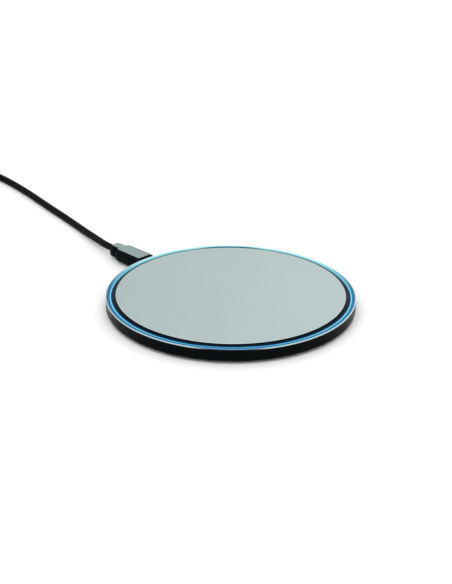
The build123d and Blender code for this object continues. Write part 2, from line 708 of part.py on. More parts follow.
with BuildPart() as usb_plug_latches:
    with BuildSketch(Plane.XY.offset(shell_bottom)):
        with Locations((0, (LATCH_START + LATCH_END) / 2)):
            with GridLocations(2 * LATCH_X, 1, 2, 1):
                Rectangle(LATCH_W, LATCH_END - LATCH_START)
    extrude(amount=SHEET_T)
usb_plug_latches.part.label = "usb_plug_latches"
export_step(usb_plug_latches.part, "parts/usb_plug_latches.step")

with BuildPart() as usb_plug_core:
    with BuildSketch(port_plane(PLUG_CORE_TIP)):
        add(port_profile(plug_shrink + SHEET_T))
    extrude(amount=PLUG_SHELL_END - PLUG_CORE_TIP)
    with BuildSketch(Plane.XY.offset(PLUG_CORE_TOP)):
        with Locations((0, (PLUG_TIP + PLUG_BLOCK_Y) / 2)):
            Rectangle(SOCKET_W, PLUG_BLOCK_Y - PLUG_TIP)
    extrude(amount=SOCKET_H, mode=Mode.SUBTRACT)
usb_plug_core.part.label = "usb_plug_core"
export_step(usb_plug_core.part, "parts/usb_plug_core.step")

with BuildPart() as usb_plug_contacts:
    with BuildSketch(Plane.XY.offset(PLUG_CORE_TOP)):
        with Locations((0, (PLUG_PIN_START + PLUG_BLOCK_Y) / 2)):
            with GridLocations(PIN_PITCH, 1, PIN_COUNT, 1):
                Rectangle(PLUG_PIN_W, PLUG_BLOCK_Y - PLUG_PIN_START)
    extrude(amount=PLUG_PIN_TOP - PLUG_CORE_TOP)
usb_plug_contacts.part.label = "usb_plug_contacts"
export_step(usb_plug_contacts.part, "parts/usb_plug_contacts.step")

inlay_top = PORT_Z + BODY_T / 2
inlay_side = [
    (INLAY_HALF_W, INLAY_FRONT),
    (INLAY_HALF_W, BODY_END - INLAY_MARGIN),
    (INLAY_NECK_HALF_W, BODY_END),
    (INLAY_NECK_HALF_W, NECK_END - INLAY_MARGIN),
    (INLAY_COLLAR_HALF_W, NECK_END + INLAY_MARGIN),
    (INLAY_NECK_HALF_W, INLAY_END),
]
with BuildPart() as usb_plug_inlay:
    with BuildSketch(Plane.XY.offset(inlay_top - INLAY_T)):
        with BuildLine():
            Polyline(*inlay_side, *[(-x, y) for x, y in reversed(inlay_side)], close=True)
        make_face()
    extrude(amount=INLAY_T)
usb_plug_inlay.part.label = "usb_plug_inlay"
export_step(usb_plug_inlay.part, "parts/usb_plug_inlay.step")

with BuildPart() as usb_plug_body:
    with BuildSketch(port_plane(BODY_FRONT)) as body_section:
        Rectangle(BODY_W, BODY_T)
        chamfer(body_section.vertices(), BODY_CHAMFER)
    extrude(amount=BODY_END - BODY_FRONT)
    chamfer(usb_plug_body.edges().group_by(Axis.Y)[-1], BODY_EDGE)
    chamfer(usb_plug_body.edges().group_by(Axis.Y)[0], BODY_EDGE)
    with BuildSketch(port_plane(BODY_END)):
        RectangleRounded(NECK_W, NECK_T, COLLAR_CORNER_R)
    extrude(amount=NECK_END - BODY_END)
    with BuildSketch(port_plane(NECK_END)):
        RectangleRounded(COLLAR_W, COLLAR_T, COLLAR_CORNER_R)
    with BuildSketch(port_plane(COLLAR_END)):
        RectangleRounded(COLLAR_TIP_W, COLLAR_TIP_T, COLLAR_CORNER_R)
    loft()
    with BuildSketch(port_plane(BODY_FRONT)):
        add(port_profile(plug_shrink))
    extrude(amount=PLUG_SHELL_END - BODY_FRONT, mode=Mode.SUBTRACT)
    add(usb_plug_inlay.part, mode=Mode.SUBTRACT)
usb_plug_body.part.label = "usb_plug_body"
export_step(usb_plug_body.part, "parts/usb_plug_body.step")

# ---- cord -----------------------------------------------------------------------------------
run_radii = bend_radii(RUN_ROUTE)
with BuildPart() as cord_run:
    with BuildLine() as run_path:
        FilletPolyline(RUN_ROUTE, radius=run_radii)
    with BuildSketch(Plane(origin=run_path.wires()[0] @ 0, z_dir=run_path.wires()[0] % 0)):
        Circle(CORD_D / 2)
    sweep(path=run_path.wires()[0])
cord_run.part.label = "cord_run"
export_step(cord_run.part, "parts/cord_run.step")

tail_radii = bend_radii(TAIL_ROUTE)
with BuildPart() as cord_tail:
    with BuildLine() as tail_path:
        FilletPolyline(TAIL_ROUTE, radius=tail_radii)
    with BuildSketch(Plane(origin=tail_path.wires()[0] @ 0, z_dir=tail_path.wires()[0] % 0)):
        Circle(CORD_D / 2)
    sweep(path=tail_path.wires()[0])
cord_tail.part.label = "cord_tail"
export_step(cord_tail.part, "parts/cord_tail.step")

# the tie goes round the ring's section, in a shallow step under it
tie_direction = (cos(radians(TIE_ANGLE)), sin(radians(TIE_ANGLE)), 0)
tie_inner = sqrt(coil_ring_inner**2 - (TIE_W / 2) ** 2) - TIE_PLAY
tie_outer = coil_ring_outer + TIE_PLAY
tie_middle = (tie_inner + tie_outer) / 2
tie_plane = Plane(
    origin=(
        COIL_CENTRE[0] + tie_middle * tie_direction[0],
        COIL_CENTRE[1] + tie_middle * tie_direction[1],
        0,
    ),
    x_dir=tie_direction,
    z_dir=(tie_direction[1], -tie_direction[0], 0),
)
with BuildPart() as cord_coil:
    with BuildSketch(Plane(origin=(COIL_CENTRE[0], COIL_CENTRE[1], 0))):
        Circle(coil_ring_outer)
        Circle(coil_ring_inner, mode=Mode.SUBTRACT)
    extrude(amount=coil_height)
    fillet(cord_coil.edges().filter_by(GeomType.CIRCLE), COIL_EDGE_FILLET)
    with BuildSketch(tie_plane):
        with Locations((0, TIE_T / 2)):
            Rectangle(tie_outer - tie_inner + 2, TIE_T)
    extrude(amount=TIE_W / 2 + TIE_PLAY, both=True, mode=Mode.SUBTRACT)
cord_coil.part.label = "cord_coil"
export_step(cord_coil.part, "parts/cord_coil.step")

with BuildPart() as cord_tie:
    with BuildSketch(tie_plane):
        with Locations((0, (coil_height + TIE_T) / 2)):
            RectangleRounded(tie_outer - tie_inner + 2 * TIE_T, coil_height + TIE_T, TIE_CORNER_R)
            Rectangle(tie_outer - tie_inner, coil_height - TIE_T, mode=Mode.SUBTRACT)
    extrude(amount=TIE_W / 2, both=True)
cord_tie.part.label = "cord_tie"
export_step(cord_tie.part, "parts/cord_tie.step")

# ---- far plug -------------------------------------------------------------------------------
host_root = TAIL_ROUTE[-1]
host_heading = atan2(host_root[1] - TAIL_ROUTE[-2][1], host_root[0] - TAIL_ROUTE[-2][0])


def host_plane(distance):
    """Plane across the far plug's axis, this far along it, with its own y axis up."""
    return Plane(
        origin=(
            host_root[0] + distance * cos(host_heading),
            host_root[1] + distance * sin(host_heading),
            HOST_Z,
        ),
        x_dir=(-sin(host_heading), cos(host_heading), 0),
        z_dir=(cos(host_heading), sin(host_heading), 0),
    )


host_body_end = HOST_RELIEF_L + HOST_BODY_L
host_tip = host_body_end + HOST_SHELL_L
shell_root = host_body_end - HOST_SHELL_SINK
with BuildPart() as host_plug_body:
    with BuildSketch(host_plane(0)):
        Circle(HOST_RELIEF_R)
    with BuildSketch(host_plane(HOST_RELIEF_L)):
        Circle(HOST_RELIEF_END_R)
    loft()
    with BuildSketch(host_plane(HOST_RELIEF_L)):
        RectangleRounded(HOST_BODY_W, HOST_BODY_T, HOST_BODY_R)
    extrude(amount=HOST_BODY_L)
    with BuildSketch(host_plane(shell_root)):
        Rectangle(HOST_SHELL_W, HOST_SHELL_H)
    extrude(amount=HOST_SHELL_SINK, mode=Mode.SUBTRACT)
host_plug_body.part.label = "host_plug_body"
export_step(host_plug_body.part, "parts/host_plug_body.step")

host_inner_w = HOST_SHELL_W - 2 * HOST_SHEET_T
host_inner_h = HOST_SHELL_H - 2 * HOST_SHEET_T
window_plane = Plane(
    origin=host_plane(host_tip - HOST_WINDOW_SETBACK).origin + Vector(0, 0, HOST_SHELL_H / 2 - HOST_SHEET_T),
    x_dir=host_plane(0).x_dir,
    z_dir=(0, 0, 1),
)
with BuildPart() as host_plug_shell:
    with BuildSketch(host_plane(shell_root)):
        Rectangle(HOST_SHELL_W, HOST_SHELL_H)
        Rectangle(host_inner_w, host_inner_h, mode=Mode.SUBTRACT)
    extrude(amount=host_tip - shell_root)
    with BuildSketch(window_plane):
        with GridLocations(HOST_WINDOW_SPACING, 1, 2, 1):
            Rectangle(HOST_WINDOW, HOST_WINDOW)
    extrude(amount=HOST_SHEET_T, mode=Mode.SUBTRACT)
host_plug_shell.part.label = "host_plug_shell"
export_step(host_plug_shell.part, "parts/host_plug_shell.step")

core_drop = -host_inner_h / 2 + HOST_CORE_H / 2
with BuildPart() as host_plug_core:
    with BuildSketch(host_plane(shell_root)):
        Rectangle(host_inner_w, host_inner_h)
    extrude(amount=HOST_SHELL_SINK)
    with BuildSketch(host_plane(host_body_end)):
        with Locations((0, core_drop)):
            Rectangle(host_inner_w, HOST_CORE_H)
    extrude(amount=HOST_CORE_L)
host_plug_core.part.label = "host_plug_core"
export_step(host_plug_core.part, "parts/host_plug_core.step")

with BuildPart() as host_plug_contacts:
    for spacing, length in (HOST_INNER_PINS, HOST_OUTER_PINS):
        with BuildSketch(host_plane(host_body_end)):
            with Locations((0, core_drop + HOST_CORE_H / 2 + HOST_PIN_T / 2)):
                with GridLocations(spacing, 1, 2, 1):
                    Rectangle(HOST_PIN_W, HOST_PIN_T)
        extrude(amount=length)
host_plug_contacts.part.label = "host_plug_contacts"
export_step(host_plug_contacts.part, "parts/host_plug_contacts.step")

# ---- what the cord measures -----------------------------------------------------------------
run_length = run_path.wires()[0].length
tail_length = tail_path.wires()[0].length
section = pi * CORD_D**2 / 4
print("run bend radii", [round(radius, 1) for radius in run_radii])
print("tail bend radii", [round(radius, 1) for radius in tail_radii])
print("run", round(run_length, 1), "volume ratio", round(cord_run.part.volume / section / run_length, 4))
print("tail", round(tail_length, 1), "volume ratio", round(cord_tail.part.volume / section / tail_length, 4))
print("coil", round(coil_length, 1), "inner centreline radius", round(coil_inner_r, 2))
print("cord", round(run_length + coil_length + tail_length, 1), "of", CORD_LENGTH)
print("far plug heading", round(degrees(host_heading), 2))
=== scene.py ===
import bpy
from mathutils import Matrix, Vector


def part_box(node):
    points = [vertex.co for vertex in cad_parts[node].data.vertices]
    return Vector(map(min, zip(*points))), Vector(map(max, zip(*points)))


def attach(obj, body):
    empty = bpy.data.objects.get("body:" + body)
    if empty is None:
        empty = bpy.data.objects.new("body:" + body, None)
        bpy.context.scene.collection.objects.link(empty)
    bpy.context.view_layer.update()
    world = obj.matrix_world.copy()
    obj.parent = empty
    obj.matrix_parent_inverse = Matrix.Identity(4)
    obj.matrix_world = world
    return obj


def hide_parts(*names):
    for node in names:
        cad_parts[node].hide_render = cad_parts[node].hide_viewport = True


bl_info = {
    "name": "Charging Pad",
    "version": (1, 0, 0),
    "blender": (4, 5, 0),
    "location": "View3D > Sidebar > Charging Pad",
    "description": "Builds a lit wireless charging pad and its USB lead round a measured frame",
    "category": "Object",
}

from math import asin, atan2, cos, degrees, pi, radians, sin, tan

import bmesh
import bpy
from mathutils import Matrix, Vector

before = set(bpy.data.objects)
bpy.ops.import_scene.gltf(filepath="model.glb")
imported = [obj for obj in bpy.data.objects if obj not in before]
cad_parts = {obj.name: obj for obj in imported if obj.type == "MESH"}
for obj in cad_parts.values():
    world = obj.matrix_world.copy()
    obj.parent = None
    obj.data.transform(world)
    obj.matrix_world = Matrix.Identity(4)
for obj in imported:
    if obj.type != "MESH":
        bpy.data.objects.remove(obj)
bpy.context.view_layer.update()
MM = 0.001
FRONT_ANGLE = radians(-134.5)  # towards the viewer


def low(node):
    """Lowest corner of a CAD node."""
    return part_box(node)[0]


def high(node):
    """Highest corner of a CAD node."""
    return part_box(node)[1]


def radii(node):
    """Smallest and largest distance of a CAD node's vertices from the pad's axis."""
    spans = [Vector(v.co[:2]).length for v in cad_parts[node].data.vertices]
    return min(spans), max(spans)


# ---- where things are, from the frame ------------------------------------------------------
PAD_R = high("bottom_case").x
PLATE_R = high("top_plate").x
PLATE_TOP = high("top_plate").z
PLATE_BOTTOM = low("top_plate").z
RING_TOP = high("light_guide").z
SKIRT_BOTTOM = low("light_guide").z
RING_OUTER = high("light_guide").x
WALL_TOP = low("trim_ring").z
RING_INNER = radii("top_cover")[1]
SKIRT_INNER = radii("light_guide")[0]
SKIRT_OUTER = SKIRT_INNER + 1.6 * MM
TRIM_INNER = radii("trim_ring")[0]
FOOT_TOP = high("rubber_feet").z
CORD_D = 3.0 * MM
LEDGE_Z = 4.9 * MM  # step in the wall that carries the light ring
COVER_UNDERSIDE = 5.0 * MM
SOCKET_WINDOW_HALF = 3.95 * MM  # half the gap in the ring's skirt
FOOT_R = 6.0 * MM
CAMERA_TARGET = Vector((9.27, 12.21, 0.0)) * MM
BODY_FRONT = low("usb_plug_body").y
COLLAR_END = high("usb_plug_body").y
BODY_TOP = high("usb_plug_body").z
BODY_BOTTOM = low("usb_plug_body").z
BODY_HALF = high("usb_plug_body").x
BODY_END = COLLAR_END - 5.2 * MM
COLLAR_START = BODY_END + 1.6 * MM
PORT_Z = (BODY_TOP + BODY_BOTTOM) / 2

# the cord's route, the same points as the CAD tubes follow
RUN_ROUTE = [
    (0.0, 0.0716, 0.0035),
    (0.0, 0.0770, 0.0035),
    (0.0030, 0.0870, 0.0026),
    (0.0063, 0.0995, 0.0017),
    (0.0099, 0.1155, 0.0015),
    (0.0136, 0.1360, 0.0015),
    (0.0179, 0.1570, 0.0015),
    (0.0205, 0.1780, 0.0015),
    (0.0206, 0.1940, 0.0015),
]
TAIL_ROUTE = [
    (-0.0216, 0.2073, 0.0045),
    (-0.0251, 0.2013, 0.0043),
    (-0.0291, 0.1932, 0.0020),
    (-0.0322, 0.1857, 0.0016),
    (-0.0347, 0.1779, 0.0038),
    (-0.0361, 0.1718, 0.0038),
]
COIL_CENTRE = Vector((-0.0015, 0.1980, 0.0))
COIL_TURNS = 8 + 150 / 360
COIL_OUTER_R = 22.1 * MM
COIL_STEPS = 18  # control points a turn
CLIMB_TURNS = 0.35  # in which the coil climbs to its upper layer
TIE_ANGLE = 255.0
TIE_W = 7.0 * MM
TIE_T = 0.5 * MM
TIE_LIFT_SPREAD = 60.0  # degrees either side of the tie in which the turns rise onto it
STRAP_EDGES = (-0.5, -0.42, 0.42, 0.5)  # across the strap, in widths


# ---- shader and geometry node graphs --------------------------------------------------------
class Wire:
    """A number that comes out of a node. Sums on it add Math nodes."""

    def __init__(self, graph, socket):
        self.graph = graph
        self.socket = socket

    def maths(self, operation, *values):
        feeds = dict(enumerate(values))
        return self.graph.node("ShaderNodeMath", {"operation": operation}, feeds)

    def __add__(self, other):
        return self.maths("ADD", self, other)

    def __radd__(self, other):
        return self.maths("ADD", other, self)

    def __sub__(self, other):
        return self.maths("SUBTRACT", self, other)

    def __rsub__(self, other):
        return self.maths("SUBTRACT", other, self)

    def __mul__(self, other):
        return self.maths("MULTIPLY", self, other)

    def __rmul__(self, other):
        return self.maths("MULTIPLY", other, self)

    def __truediv__(self, other):
        return self.maths("DIVIDE", self, other)

    def __pow__(self, other):
        return self.maths("POWER", self, other)

    def step(self, start, end):
        """0 before start, 1 after end, smooth between."""
        feeds = {"Value": self, "From Min": start, "From Max": end}
        return self.graph.node("ShaderNodeMapRange", {"interpolation_type": "SMOOTHSTEP"}, feeds)


class Graph:
    """Adds nodes to one node tree."""

    def __init__(self, tree):
        self.tree = tree

    def node(self, kind, settings=None, feeds=None, output=0):
        made = self.tree.nodes.new(kind)
        for name, value in (settings or {}).items():
            if name == "stops":
                self.fill_ramp(made.color_ramp, value)
            else:
                setattr(made, name, value)
        for name, value in (feeds or {}).items():
            if isinstance(value, Wire):
                self.tree.links.new(value.socket, made.inputs[name])
            else:
                made.inputs[name].default_value = value
        return Wire(self, made.outputs[output]) if made.outputs else made

    @staticmethod
    def fill_ramp(ramp, stops):
        while len(ramp.elements) < len(stops):
            ramp.elements.new(1.0)
        for element, (place, colour) in zip(ramp.elements, stops):
            element.position = place
            element.color = (*colour, 1.0)


class Finish(Graph):
    """One material, on Object coordinates."""

    def __init__(self, name):
        self.material = bpy.data.materials.new(name)
        self.material.use_nodes = True
        super().__init__(self.material.node_tree)
        self.tree.nodes.clear()
        self.place = self.node("ShaderNodeTexCoord", output=3)

    def from_axis(self):
        """Distance from the pad's axis, and how far a place is towards the viewer, -1 to 1."""
        split = self.node("ShaderNodeSeparateXYZ", None, {"Vector": self.place})
        x, y, _ = [Wire(self, socket) for socket in split.socket.node.outputs]
        radius = (x * x + y * y) ** 0.5
        return radius, (x * cos(FRONT_ANGLE) + y * sin(FRONT_ANGLE)) / radius

    def moved(self, turn=0.0, stretch=(1, 1, 1)):
        """Object coordinates, turned about z and stretched."""
        feeds = {"Vector": self.place, "Rotation": (0, 0, turn), "Scale": stretch}
        return self.node("ShaderNodeMapping", None, feeds)

    def noise(self, size, detail=3.0, rough=0.5, place=None):
        """Noise from 0 to 1 whose lumps are about this size in metres."""
        feeds = {
            "Vector": place or self.place,
            "Scale": 1 / size,
            "Detail": detail,
            "Roughness": rough,
        }
        return self.node("ShaderNodeTexNoise", None, feeds)

    def cells(self, size):
        """Distance in a cell pattern of this size in metres."""
        feeds = {"Vector": self.place, "Scale": 1 / size}
        return self.node("ShaderNodeTexVoronoi", None, feeds)

    def bands(self, size, place, distortion):
        """Bands across y, this far apart in metres."""
        settings = {"wave_type": "BANDS", "bands_direction": "Y"}
        feeds = {"Vector": place, "Scale": pi / 10 / size, "Distortion": distortion}
        return self.node("ShaderNodeTexWave", settings, feeds, output=1)

    def mix(self, share, first, second):
        """Colour from first to second as share goes from 0 to 1."""
        feeds = {0: share}
        for place, colour in ((6, first), (7, second)):
            feeds[place] = colour if isinstance(colour, Wire) else (*colour, 1.0)
        return self.node("ShaderNodeMix", {"data_type": "RGBA"}, feeds, output=2)

    def ramp(self, share, stops):
        """Colour from a list of (place, colour)."""
        return self.node("ShaderNodeValToRGB", {"stops": stops}, {0: share})

    def bump(self, height, depth, strength=1.0):
        """A normal from a height between 0 and 1 times this depth in metres."""
        feeds = {"Strength": strength, "Distance": depth, "Height": height}
        return self.node("ShaderNodeBump", None, feeds)

    def surface(self, **feeds):
        """Ends the material in one Principled shader. Underscores in names stand for spaces."""
        named = {}
        for name, value in feeds.items():
            colour = isinstance(value, tuple) and len(value) == 3
            named[name.replace("_", " ")] = (*value, 1.0) if colour else value
        shader = self.node("ShaderNodeBsdfPrincipled", None, named)
        self.node("ShaderNodeOutputMaterial", None, {"Surface": shader})
        return self.material


# ---- finishes -------------------------------------------------------------------------------
DARK = (0.0, 0.0, 0.0)


def scaled(colour, by, plus=0.0):
    """A colour made lighter or darker, at most white."""
    return tuple(min(1.0, c * by + plus) for c in colour)


def silver_paint(look):
    """Satin silver paint with fine flake, a soft cloudiness, a few faint rub marks
    and a painted highlight round its edge."""
    skin = Finish("silver_paint")
    flake = skin.noise(0.00012, 2.0)
    cloud = skin.noise(0.018, 2.0)
    rubs = skin.noise(0.0012, 4.0, 0.65, skin.moved(turn=0.5, stretch=(1, 14, 1))).step(0.62, 0.82)
    radius, _ = skin.from_axis()
    # painted highlight: the plate's outer rim is mixed towards a paler colour, where its rounded
    # edge would catch the light
    edge = radius.step(PLATE_R - 0.4 * MM, PLATE_R - 0.22 * MM)
    tone = flake * 0.5 + cloud * 0.5
    paint = skin.mix(tone, scaled(look.silver, 0.93), scaled(look.silver, 1.06))
    colour = skin.mix(edge * 0.5, paint, (0.66, 0.72, 0.71))
    rough = 0.36 + flake * 0.08 + rubs * 0.06 - edge * 0.1
    return skin.surface(
        Base_Color=colour,
        Metallic=0.35,
        Roughness=rough,
        Normal=skin.bump(flake, 0.000006),
        Coat_Weight=0.12,
        Coat_Roughness=0.25,
    )


def black_gloss(name, tint, rough, specular, lit_from=None):
    """Polished black moulding with a slight waviness, fine hairlines and a little dust. Outside the
    lit_from radius, next to the light ring, a blue reflection of the ring's light is painted on."""
    skin = Finish(name)
    wave = skin.noise(0.004, 1.0)
    hair = skin.noise(0.0009, 5.0, 0.7, skin.moved(turn=0.8, stretch=(1, 22, 6))).step(0.6, 0.8)
    dust = skin.noise(0.00035, 2.0).step(0.7, 0.78)
    colour = skin.mix(dust * 0.2, tint, (0.05, 0.055, 0.06))
    if lit_from:
        radius, _ = skin.from_axis()
        # painted reflection: past lit_from the colour turns blue, standing in for the ring's light
        # mirrored in the gloss
        painted_ring_reflection = radius.step(lit_from, lit_from + 0.4 * MM)
        colour = skin.mix(painted_ring_reflection, colour, (0.001, 0.012, 0.03))
    return skin.surface(
        Base_Color=colour,
        Roughness=rough + hair * 0.12 + dust * 0.1,
        Normal=skin.bump(wave, 0.00002, 0.35),
        Specular_IOR_Level=specular,
        IOR=1.2,
    )


def lit_acrylic(look):
    """Clear acrylic lit blue from below: dark next to the cover, then a bright crest, and deep blue
    outside it. At the very front the crest is fainter, and a second one lies on the outer edge.
    Towards the back it turns to cyan, and is deep blue again at the very back. The blue glow is the
    ring's own light, but the bright crests are painted highlights, and the changes from front to
    back are painted light that follows the direction towards the viewer."""
    skin = Finish("lit_acrylic")
    radius, ahead = skin.from_axis()
    across = (radius - RING_INNER) / (RING_OUTER - RING_INNER)
    behind = 0.0 - ahead
    # painted highlight: band brightens the ring along its crest
    band = across.step(0.385, 0.43) - across.step(0.55, 0.61)
    trough = skin.ramp(across, [(0.30, (0.0, 0.006, 0.02)), (0.48, look.deep_glow)])
    # painted light: the crest is made brighter towards the viewer
    bright = skin.mix(ahead.step(0.7, 0.965), look.glow, (0.12, 0.55, 0.92))
    faint = skin.ramp(
        across,
        [
            (0.0, (0.0, 0.002, 0.010)),
            (0.31, (0.0, 0.010, 0.035)),
            (0.37, (0.09, 0.36, 0.60)),
            (0.43, (0.09, 0.36, 0.60)),
            (0.50, (0.001, 0.085, 0.27)),
            (0.88, (0.001, 0.085, 0.27)),
            (1.0, (0.12, 0.42, 0.72)),
        ],
    )
    far = skin.ramp(
        across,
        [(0.15, (0.05, 0.24, 0.29)), (0.45, (0.10, 0.38, 0.43)), (0.65, look.far_glow)],
    )
    farthest = skin.ramp(
        across,
        [(0.1, (0.0, 0.12, 0.20)), (0.55, (0.0, 0.16, 0.26)), (0.85, (0.03, 0.30, 0.44))],
    )
    # front, back and farthest colours are picked by direction towards the viewer: painted light,
    # not the ring's own colour
    lit = skin.mix(ahead.step(0.955, 0.988), skin.mix(band, trough, bright), faint)
    away = skin.mix(behind.step(0.95, 0.995), far, farthest)
    grain = skin.noise(0.0006, 2.0)
    shaded = skin.mix(grain * 0.15, skin.mix(behind.step(0.0, 0.75), lit, away), (0.01, 0.08, 0.2))
    return skin.surface(
        Base_Color=skin.mix(0.8, shaded, (0.004, 0.012, 0.02)),
        Roughness=0.2 + grain * 0.1,
        Emission_Color=shaded,
        Emission_Strength=0.95,
        Specular_IOR_Level=0.05,
        IOR=1.3,
    )


def plated_trim():
    """Bright plating with the ring's light painted on as reflection: blue next to the ring and all
    over at the very front, nearly black on the outer edge there, cyan at the back. The same painted
    light is also given as emission, though the plating is no lamp."""
    skin = Finish("plated_trim")
    radius, ahead = skin.from_axis()
    # front and behind pick the painted reflection by direction towards the viewer
    front = ahead.step(0.95, 0.99)
    behind = (0.0 - ahead).step(0.1, 0.8)
    outer = radius.step(PAD_R - 0.42 * MM, PAD_R - 0.25 * MM)
    inner = 1.0 - radius.step(TRIM_INNER + 0.35 * MM, TRIM_INNER + 0.5 * MM)
    grain = skin.noise(0.0004, 3.0)
    # painted reflection: blue next to the ring, dark on the outer edge at the front, cyan at the
    # back
    plain = skin.mix(inner, (0.52, 0.66, 0.70), (0.0, 0.09, 0.24))
    blue = skin.mix(outer, (0.04, 0.20, 0.36), (0.001, 0.004, 0.01))
    metal = skin.mix(behind, skin.mix(front, plain, blue), (0.42, 0.62, 0.66))
    # painted glow: the trim is given emission in the reflected colours, though it is no lamp
    light = skin.mix(outer, (0.13, 0.42, 0.74), (0.0, 0.003, 0.008))
    glow = skin.mix(behind, skin.mix(front, DARK, light), (0.26, 0.42, 0.44))
    return skin.surface(
        Base_Color=skin.mix(grain * 0.2, metal, (0.16, 0.2, 0.22)),
        Metallic=0.9,
        Roughness=0.24 + grain * 0.1,
        Emission_Color=glow,
        Emission_Strength=0.7,
    )


def foot_rubber():
    """Matt rubber with a fine moulded grain and paler worn spots."""
    skin = Finish("foot_rubber")
    tint = (0.018, 0.018, 0.019)
    grain = skin.noise(0.0004, 3.0)
    worn = skin.noise(0.006, 3.0).step(0.55, 0.75)
    colour = skin.mix(worn * 0.35 + grain * 0.2, tint, scaled(tint, 1.9, 0.012))
    return skin.surface(
        Base_Color=colour,
        Roughness=0.62 + grain * 0.2,
        Normal=skin.bump(grain, 0.00003, 0.6),
        Specular_IOR_Level=0.3,
    )


def moulded_skin(name, tint, rough, specular):
    """Satin moulded cable plastic: spark-eroded grain and light scuffs."""
    skin = Finish(name)
    grain = skin.cells(0.00028)
    scuff = skin.noise(0.0016, 5.0, 0.7, skin.moved(turn=1.1, stretch=(1, 6, 3))).step(0.58, 0.8)
    colour = skin.mix(scuff * 0.4, tint, scaled(tint, 1.4, 0.008))
    return skin.surface(
        Base_Color=colour,
        Roughness=rough + grain * 0.1 + scuff * 0.08,
        Normal=skin.bump(grain, 0.00001, 0.5),
        Specular_IOR_Level=specular,
        IOR=1.3,
    )


def sheet_steel(name, along=0.0):
    """Nickel-plated steel sheet, finely brushed along its length, with faint stains."""
    skin = Finish(name)
    tint = (0.44, 0.44, 0.43)
    brushed = skin.noise(0.0003, 3.0, 0.6, skin.moved(turn=along, stretch=(6, 0.4, 6)))
    stain = skin.noise(0.003, 3.0).step(0.5, 0.8)
    colour = skin.mix(brushed * 0.3 + stain * 0.25, tint, scaled(tint, 0.72))
    return skin.surface(
        Base_Color=colour,
        Metallic=1.0,
        Roughness=0.24 + brushed * 0.18 + stain * 0.08,
        Normal=skin.bump(brushed, 0.000006, 0.4),
    )


def gold_flash():
    """Thin gold on spring contacts, with a wiped track."""
    skin = Finish("gold_flash")
    wiped = skin.noise(0.0003, 3.0, 0.5, skin.moved(stretch=(3, 0.3, 3)))
    colour = skin.mix(wiped, (0.83, 0.60, 0.24), (0.93, 0.74, 0.38))
    return skin.surface(Base_Color=colour, Metallic=1.0, Roughness=0.18 + wiped * 0.16)


def woven_strap():
    """Hook-and-loop strap: tight ribs across a nap of fine loops."""
    skin = Finish("woven_strap")
    nap = skin.cells(0.00035)
    weave = skin.bands(0.0006, skin.moved(turn=radians(-TIE_ANGLE)), 1.5)
    height = nap * 0.5 + weave * 0.5
    colour = skin.mix(height, (0.004, 0.004, 0.0045), (0.034, 0.034, 0.036))
    return skin.surface(
        Base_Color=colour,
        Roughness=0.75 + nap * 0.2,
        Normal=skin.bump(height, 0.00012, 0.9),
        Specular_IOR_Level=0.2,
    )


def copper_strand():
    """Enamelled copper whose lacquer varies a little along it."""
    skin = Finish("copper_strand")
    lacquer = skin.noise(0.0012, 3.0)
    colour = skin.mix(lacquer, (0.62, 0.22, 0.08), (0.85, 0.42, 0.18))
    rough = 0.24 + lacquer * 0.16
    return skin.surface(Base_Color=colour, Metallic=0.9, Roughness=rough, Coat_Weight=0.4)


def circuit_board():
    """Green solder mask over copper tracks, with pale vias."""
    skin = Finish("circuit_board")
    feeds = {
        "Vector": skin.moved(turn=0.4),
        "Scale": 1 / 0.006,
        "Mortar Size": 0.06,
        "Brick Width": 0.9,
        "Row Height": 0.22,
    }
    tracks = skin.node("ShaderNodeTexBrick", None, feeds, output=1)
    vias = 1.0 - skin.cells(0.0034).step(0.10, 0.13)
    weave = skin.noise(0.0005, 2.0)
    mask = skin.mix(tracks, (0.010, 0.085, 0.035), (0.022, 0.17, 0.06))
    colour = skin.mix(vias, mask, (0.62, 0.58, 0.45))
    return skin.surface(
        Base_Color=colour,
        Metallic=vias * 0.8,
        Roughness=0.3 + weave * 0.15,
        Normal=skin.bump(tracks, 0.00003, 0.5),
    )


def grained(name, dark, pale, size, rough, depth=0.00002):
    """A plain fine-grained stuff: ferrite, foam, ceramic, film or moulded package."""
    skin = Finish(name)
    grain = skin.noise(size, 4.0, 0.6)
    pits = skin.cells(size * 2.5)
    colour = skin.mix(grain * 0.7 + pits * 0.3, dark, pale)
    return skin.surface(
        Base_Color=colour,
        Roughness=rough + grain * 0.15,
        Normal=skin.bump(pits, depth, 0.5),
    )


def lamp_lens():
    """White lamp housing with a blue-lit face outwards."""
    skin = Finish("lamp_lens")
    radius, _ = skin.from_axis()
    reach = radii("light_leds")[1]
    face = radius.step(reach - 0.15 * MM, reach)
    cloud = skin.noise(0.0005, 2.0)
    housing = skin.mix(cloud, (0.75, 0.74, 0.7), (0.88, 0.87, 0.83))
    return skin.surface(
        Base_Color=skin.mix(face, housing, (0.1, 0.45, 0.9)),
        Roughness=0.35 + cloud * 0.1,
        Emission_Color=skin.mix(face, DARK, (0.1, 0.5, 1.0)),
        Emission_Strength=1.0,
    )


def pale_floor(look):
    """Plain pale studio floor with the faintest unevenness."""
    skin = Finish("pale_floor")
    cloud = skin.noise(0.4, 2.0)
    colour = skin.mix(cloud, look.floor, scaled(look.floor, 1.01))
    return skin.surface(Base_Color=colour, Roughness=0.9, Specular_IOR_Level=0.0)


# ---- mesh helpers ---------------------------------------------------------------------------
def linked(name, data):
    """A new object in the scene."""
    made = bpy.data.objects.new(name, data)
    bpy.context.scene.collection.objects.link(made)
    return made


def repaint(node, finish):
    """Gives a carried CAD node its material."""
    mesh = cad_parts[node].data
    mesh.materials.clear()
    mesh.materials.append(finish)


def placed(side, up, ahead, at):
    """The matrix of a frame with these axes at this point."""
    return Matrix.Translation(at) @ Matrix((side, up, ahead)).transposed().to_4x4()


